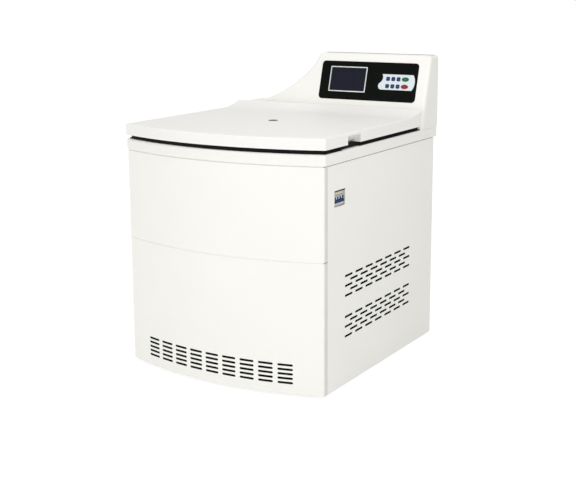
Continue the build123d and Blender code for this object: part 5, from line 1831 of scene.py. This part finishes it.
    def shoulders(self) -> None:
        """Filler behind and below the breaker's nose, and a black rubber edging ahead of it and above it,
        which is also painted shadow along the window's front and top edges.

        Each strip is given by its face, its depth, and its lower and upper corner seen from the side.
        """
        edge, depth, set_back = self.shade_strip
        nose_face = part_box("breaker_body")[1].x - self.shoulder_drop
        panel_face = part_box("side_panel_right")[1].x - set_back
        wide, tall = self.half_window
        half_y, half_z = self.half_nose
        lap, eaves = self.filler_lap, tall - edge
        beside = (panel_face, 2 * depth, (half_y, -tall), (wide, eaves))
        below = (nose_face, depth, (-wide, -tall), (half_y + lap, lap - half_z))
        ahead = (panel_face, 2 * depth, (-wide, -tall), (-half_y, eaves))
        above = (panel_face, 2 * depth, (-wide, eaves + self.shade_strip_gap), (wide, tall))
        _, y, z = self.axis
        for name, finish, slot, strips in (
                ("breaker_shoulders", Coat.BREAKER, "breaker_beige", (beside, below)),
                ("breaker_shadow_edging", Coat.RUBBER, "pad_rubber", (ahead, above))):
            form = bmesh.new()
            for face, thickness, (near, bottom), (far, top) in strips:
                block_between(form, (face - thickness, y + near, z + bottom), (face, y + far, z + top),
                              self.filler_edge)
            add_piece(name, form, finish, Seat("cabinet", slot))


# Chamber and rotor

@dataclass
class Chamber:
    """Bowl with its cooling and insulation, and the rotor with its buckets."""

    buckets: tuple[str, ...] = ("bucket_1", "bucket_2", "bucket_3", "bucket_4")
    hub_bolts: int = 6
    hub_bolt_circle: float = 33.0 * MM
    hub_bolt_head: float = 3.2 * MM
    rotor_edge: float = 0.8 * MM
    bucket_edge: float = 0.5 * MM
    armour_edge: float = 0.6 * MM

    def build(self) -> None:
        """Dress the pieces and add the bolts of the rotor's hub."""
        dress(Coat.BOWL, "chamber_bowl")
        dress(Coat.COPPER, "evaporator_coil")
        dress(Coat.FOAM, "chamber_insulation")
        dress(Coat.ARMOUR, "armour_ring")
        dress(Coat.ROTOR, "swing_rotor")
        dress(Coat.BUCKET, *self.buckets)
        dress(Coat.SHAFT, "drive_shaft")
        dress(Coat.BLACK_PLASTIC, "rotor_nut")
        soften(self.rotor_edge, "swing_rotor")
        soften(self.bucket_edge, "rotor_nut", *self.buckets)
        soften(self.armour_edge, "armour_ring")
        low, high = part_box("swing_rotor")
        hub = Vector(((low.x + high.x) / 2, (low.y + high.y) / 2, high.z))
        angles = [2 * pi * (index + 0.5) / self.hub_bolts for index in range(self.hub_bolts)]
        spots = [hub + Vector((cos(angle), sin(angle), 0)) * self.hub_bolt_circle for angle in angles]
        screws("rotor_hub_bolts", spots, UPWARD, self.hub_bolt_head, node_body("swing_rotor"))


# Machinery

@dataclass
class Machinery:
    """Drive, refrigeration and power pieces in the cabinet."""

    thick_edge: float = 0.6 * MM
    sheet_edge: float = 0.4 * MM

    def build(self) -> None:
        """Dress the pieces and break their edges."""
        dress(Coat.ENAMEL, "drive_motor", "compressor", "fan_motor")
        dress(Coat.PRIMER, "motor_plate", "motor_pillars")
        dress(Coat.RUBBER, "motor_dampers")
        dress(Coat.FINS, "condenser")
        dress(Coat.SHROUD, "fan_shroud", "inverter_drive")
        dress(Coat.FAN, "condenser_fan")
        dress(Coat.COPPER, "refrigerant_pipes")
        soften(self.thick_edge, "drive_motor", "motor_plate", "inverter_drive", "motor_pillars")
        soften(self.sheet_edge, "fan_shroud", "fan_motor")


# Studio

@dataclass
class Studio:
    """Pale floor, soft lights and a camera where the photograph was taken from.

    The floor's glow is its share of the floor's shading and its strength. Each softbox is given by its name,
    its place, its width and height, and its power in watts.
    """

    image: tuple[int, int] = (576, 500)
    focal_pixels: float = 1106.05
    centre: Point2 = (289.3, 207.0)
    sensor: float = 36.0
    place: Point3 = (2.2497, -3.61075, 1.4251)
    yaw: float = radians(31.563)
    pitch: float = radians(11.269)
    roll: float = radians(-0.287)
    clip: Point2 = (0.05, 100.0)
    floor_size: float = 40.0
    floor_grey: float = 0.86
    floor_glow: Point2 = (0.72, 1.25)
    world_level: float = 0.55
    aim: Point3 = (0.0, 0.0, 0.6)
    softboxes: tuple[tuple[str, Point3, Point2, float], ...] = (
        ("key_light", (-1.75, -5.3, 1.8), (2.6, 2.0), 97.0),
        ("side_light", (3.0, -1.6, 2.4), (1.2, 1.2), 44.0),
        ("top_light", (0.0, -0.1, 4.2), (3.0, 3.0), 31.0))

    def build(self) -> None:
        """Set up the camera, the floor, the world and the lights."""
        settings = bpy.context.scene.view_settings
        settings.view_transform = "Standard"
        self.camera()
        self.floor()
        self.world()
        self.lights()

    def camera(self) -> None:
        """Camera with the photograph's place, direction, lens and framing."""
        data = bpy.data.cameras.new("camera")
        data.sensor_width = self.sensor
        width, height = self.image
        data.lens = self.focal_pixels * self.sensor / width
        data.shift_x = (width / 2 - self.centre[0]) / width
        data.shift_y = -(height / 2 - self.centre[1]) / width
        data.clip_start, data.clip_end = self.clip
        camera = bpy.data.objects.new("camera", data)
        bpy.context.scene.collection.objects.link(camera)
        flat = cos(self.pitch)
        ahead = Vector((-sin(self.yaw) * flat, cos(self.yaw) * flat, -sin(self.pitch)))
        turn = ahead.to_track_quat("-Z", "Y").to_matrix().to_4x4()
        camera.matrix_world = Matrix.Translation(self.place) @ turn @ Matrix.Rotation(self.roll, 4, "Z")
        bpy.context.scene.camera = camera

    def background_ray(self, recipe: Recipe) -> Tap:
        """Rays that should see a white background: camera, glossy and transmission rays.

        Args:
            recipe: Material or world to add the nodes to.

        Returns:
            One for such a ray, and zero for any other.
        """
        seen, glossy, through = (recipe.node("ShaderNodeLightPath", out=f"Is {kind} Ray")
                                 for kind in ("Camera", "Glossy", "Transmission"))
        return (seen + glossy + through).above(0.5)

    def floor(self) -> None:
        """Wide pale floor that keeps a soft shadow and fades into the white background."""
        form = bmesh.new()
        bmesh.ops.create_grid(form, x_segments=2, y_segments=2, size=self.floor_size / 2)
        floor = mesh_object("floor", form)
        recipe = Recipe(bpy.data.materials.new("studio_floor"))
        grey, (share, strength) = self.floor_grey, self.floor_glow
        matt = recipe.node("ShaderNodeBsdfDiffuse", None, {"Color": (grey, grey, grey, 1.0)})
        glow = recipe.node("ShaderNodeEmission", None, {"Color": WHITE, "Strength": strength})
        recipe.surface(recipe.node("ShaderNodeMixShader", None,
                                   {0: self.background_ray(recipe) * share, 1: matt, 2: glow}))
        floor.data.materials.append(recipe.owner)

    def world(self) -> None:
        """Even sky, white where the camera, a gloss or a glass sees it."""
        recipe = Recipe(bpy.data.worlds.new("studio_world"))
        level = self.background_ray(recipe) * (1.0 - self.world_level) + self.world_level
        sky = recipe.node("ShaderNodeBackground", None, {"Color": WHITE, "Strength": level})
        recipe.surface(sky, "ShaderNodeOutputWorld")
        bpy.context.scene.world = recipe.owner

    def lights(self) -> None:
        """Three softboxes: a key ahead on the left, a nearer one on the right and a top light."""
        for name, spot, size, power in self.softboxes:
            data = bpy.data.lights.new(name, "AREA")
            data.shape = "RECTANGLE"
            data.size, data.size_y = size
            data.energy = power
            light = bpy.data.objects.new(name, data)
            bpy.context.scene.collection.objects.link(light)
            light.location = spot
            light.rotation_mode = "QUATERNION"
            light.rotation_quaternion = (Vector(self.aim) - Vector(spot)).to_track_quat("-Z", "Y")


def main() -> None:
    """Build the machine's looks sub-assembly by sub-assembly."""
    logging.basicConfig(level=logging.INFO, format="%(message)s")
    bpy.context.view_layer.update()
    for assembly in (Casing(), DeckAndLid(), Console(), Breaker(), Chamber(), Machinery(), Studio()):
        assembly.build()
        log.info("%s is built", type(assembly).__name__)


if __name__ == "__main__":
    main()
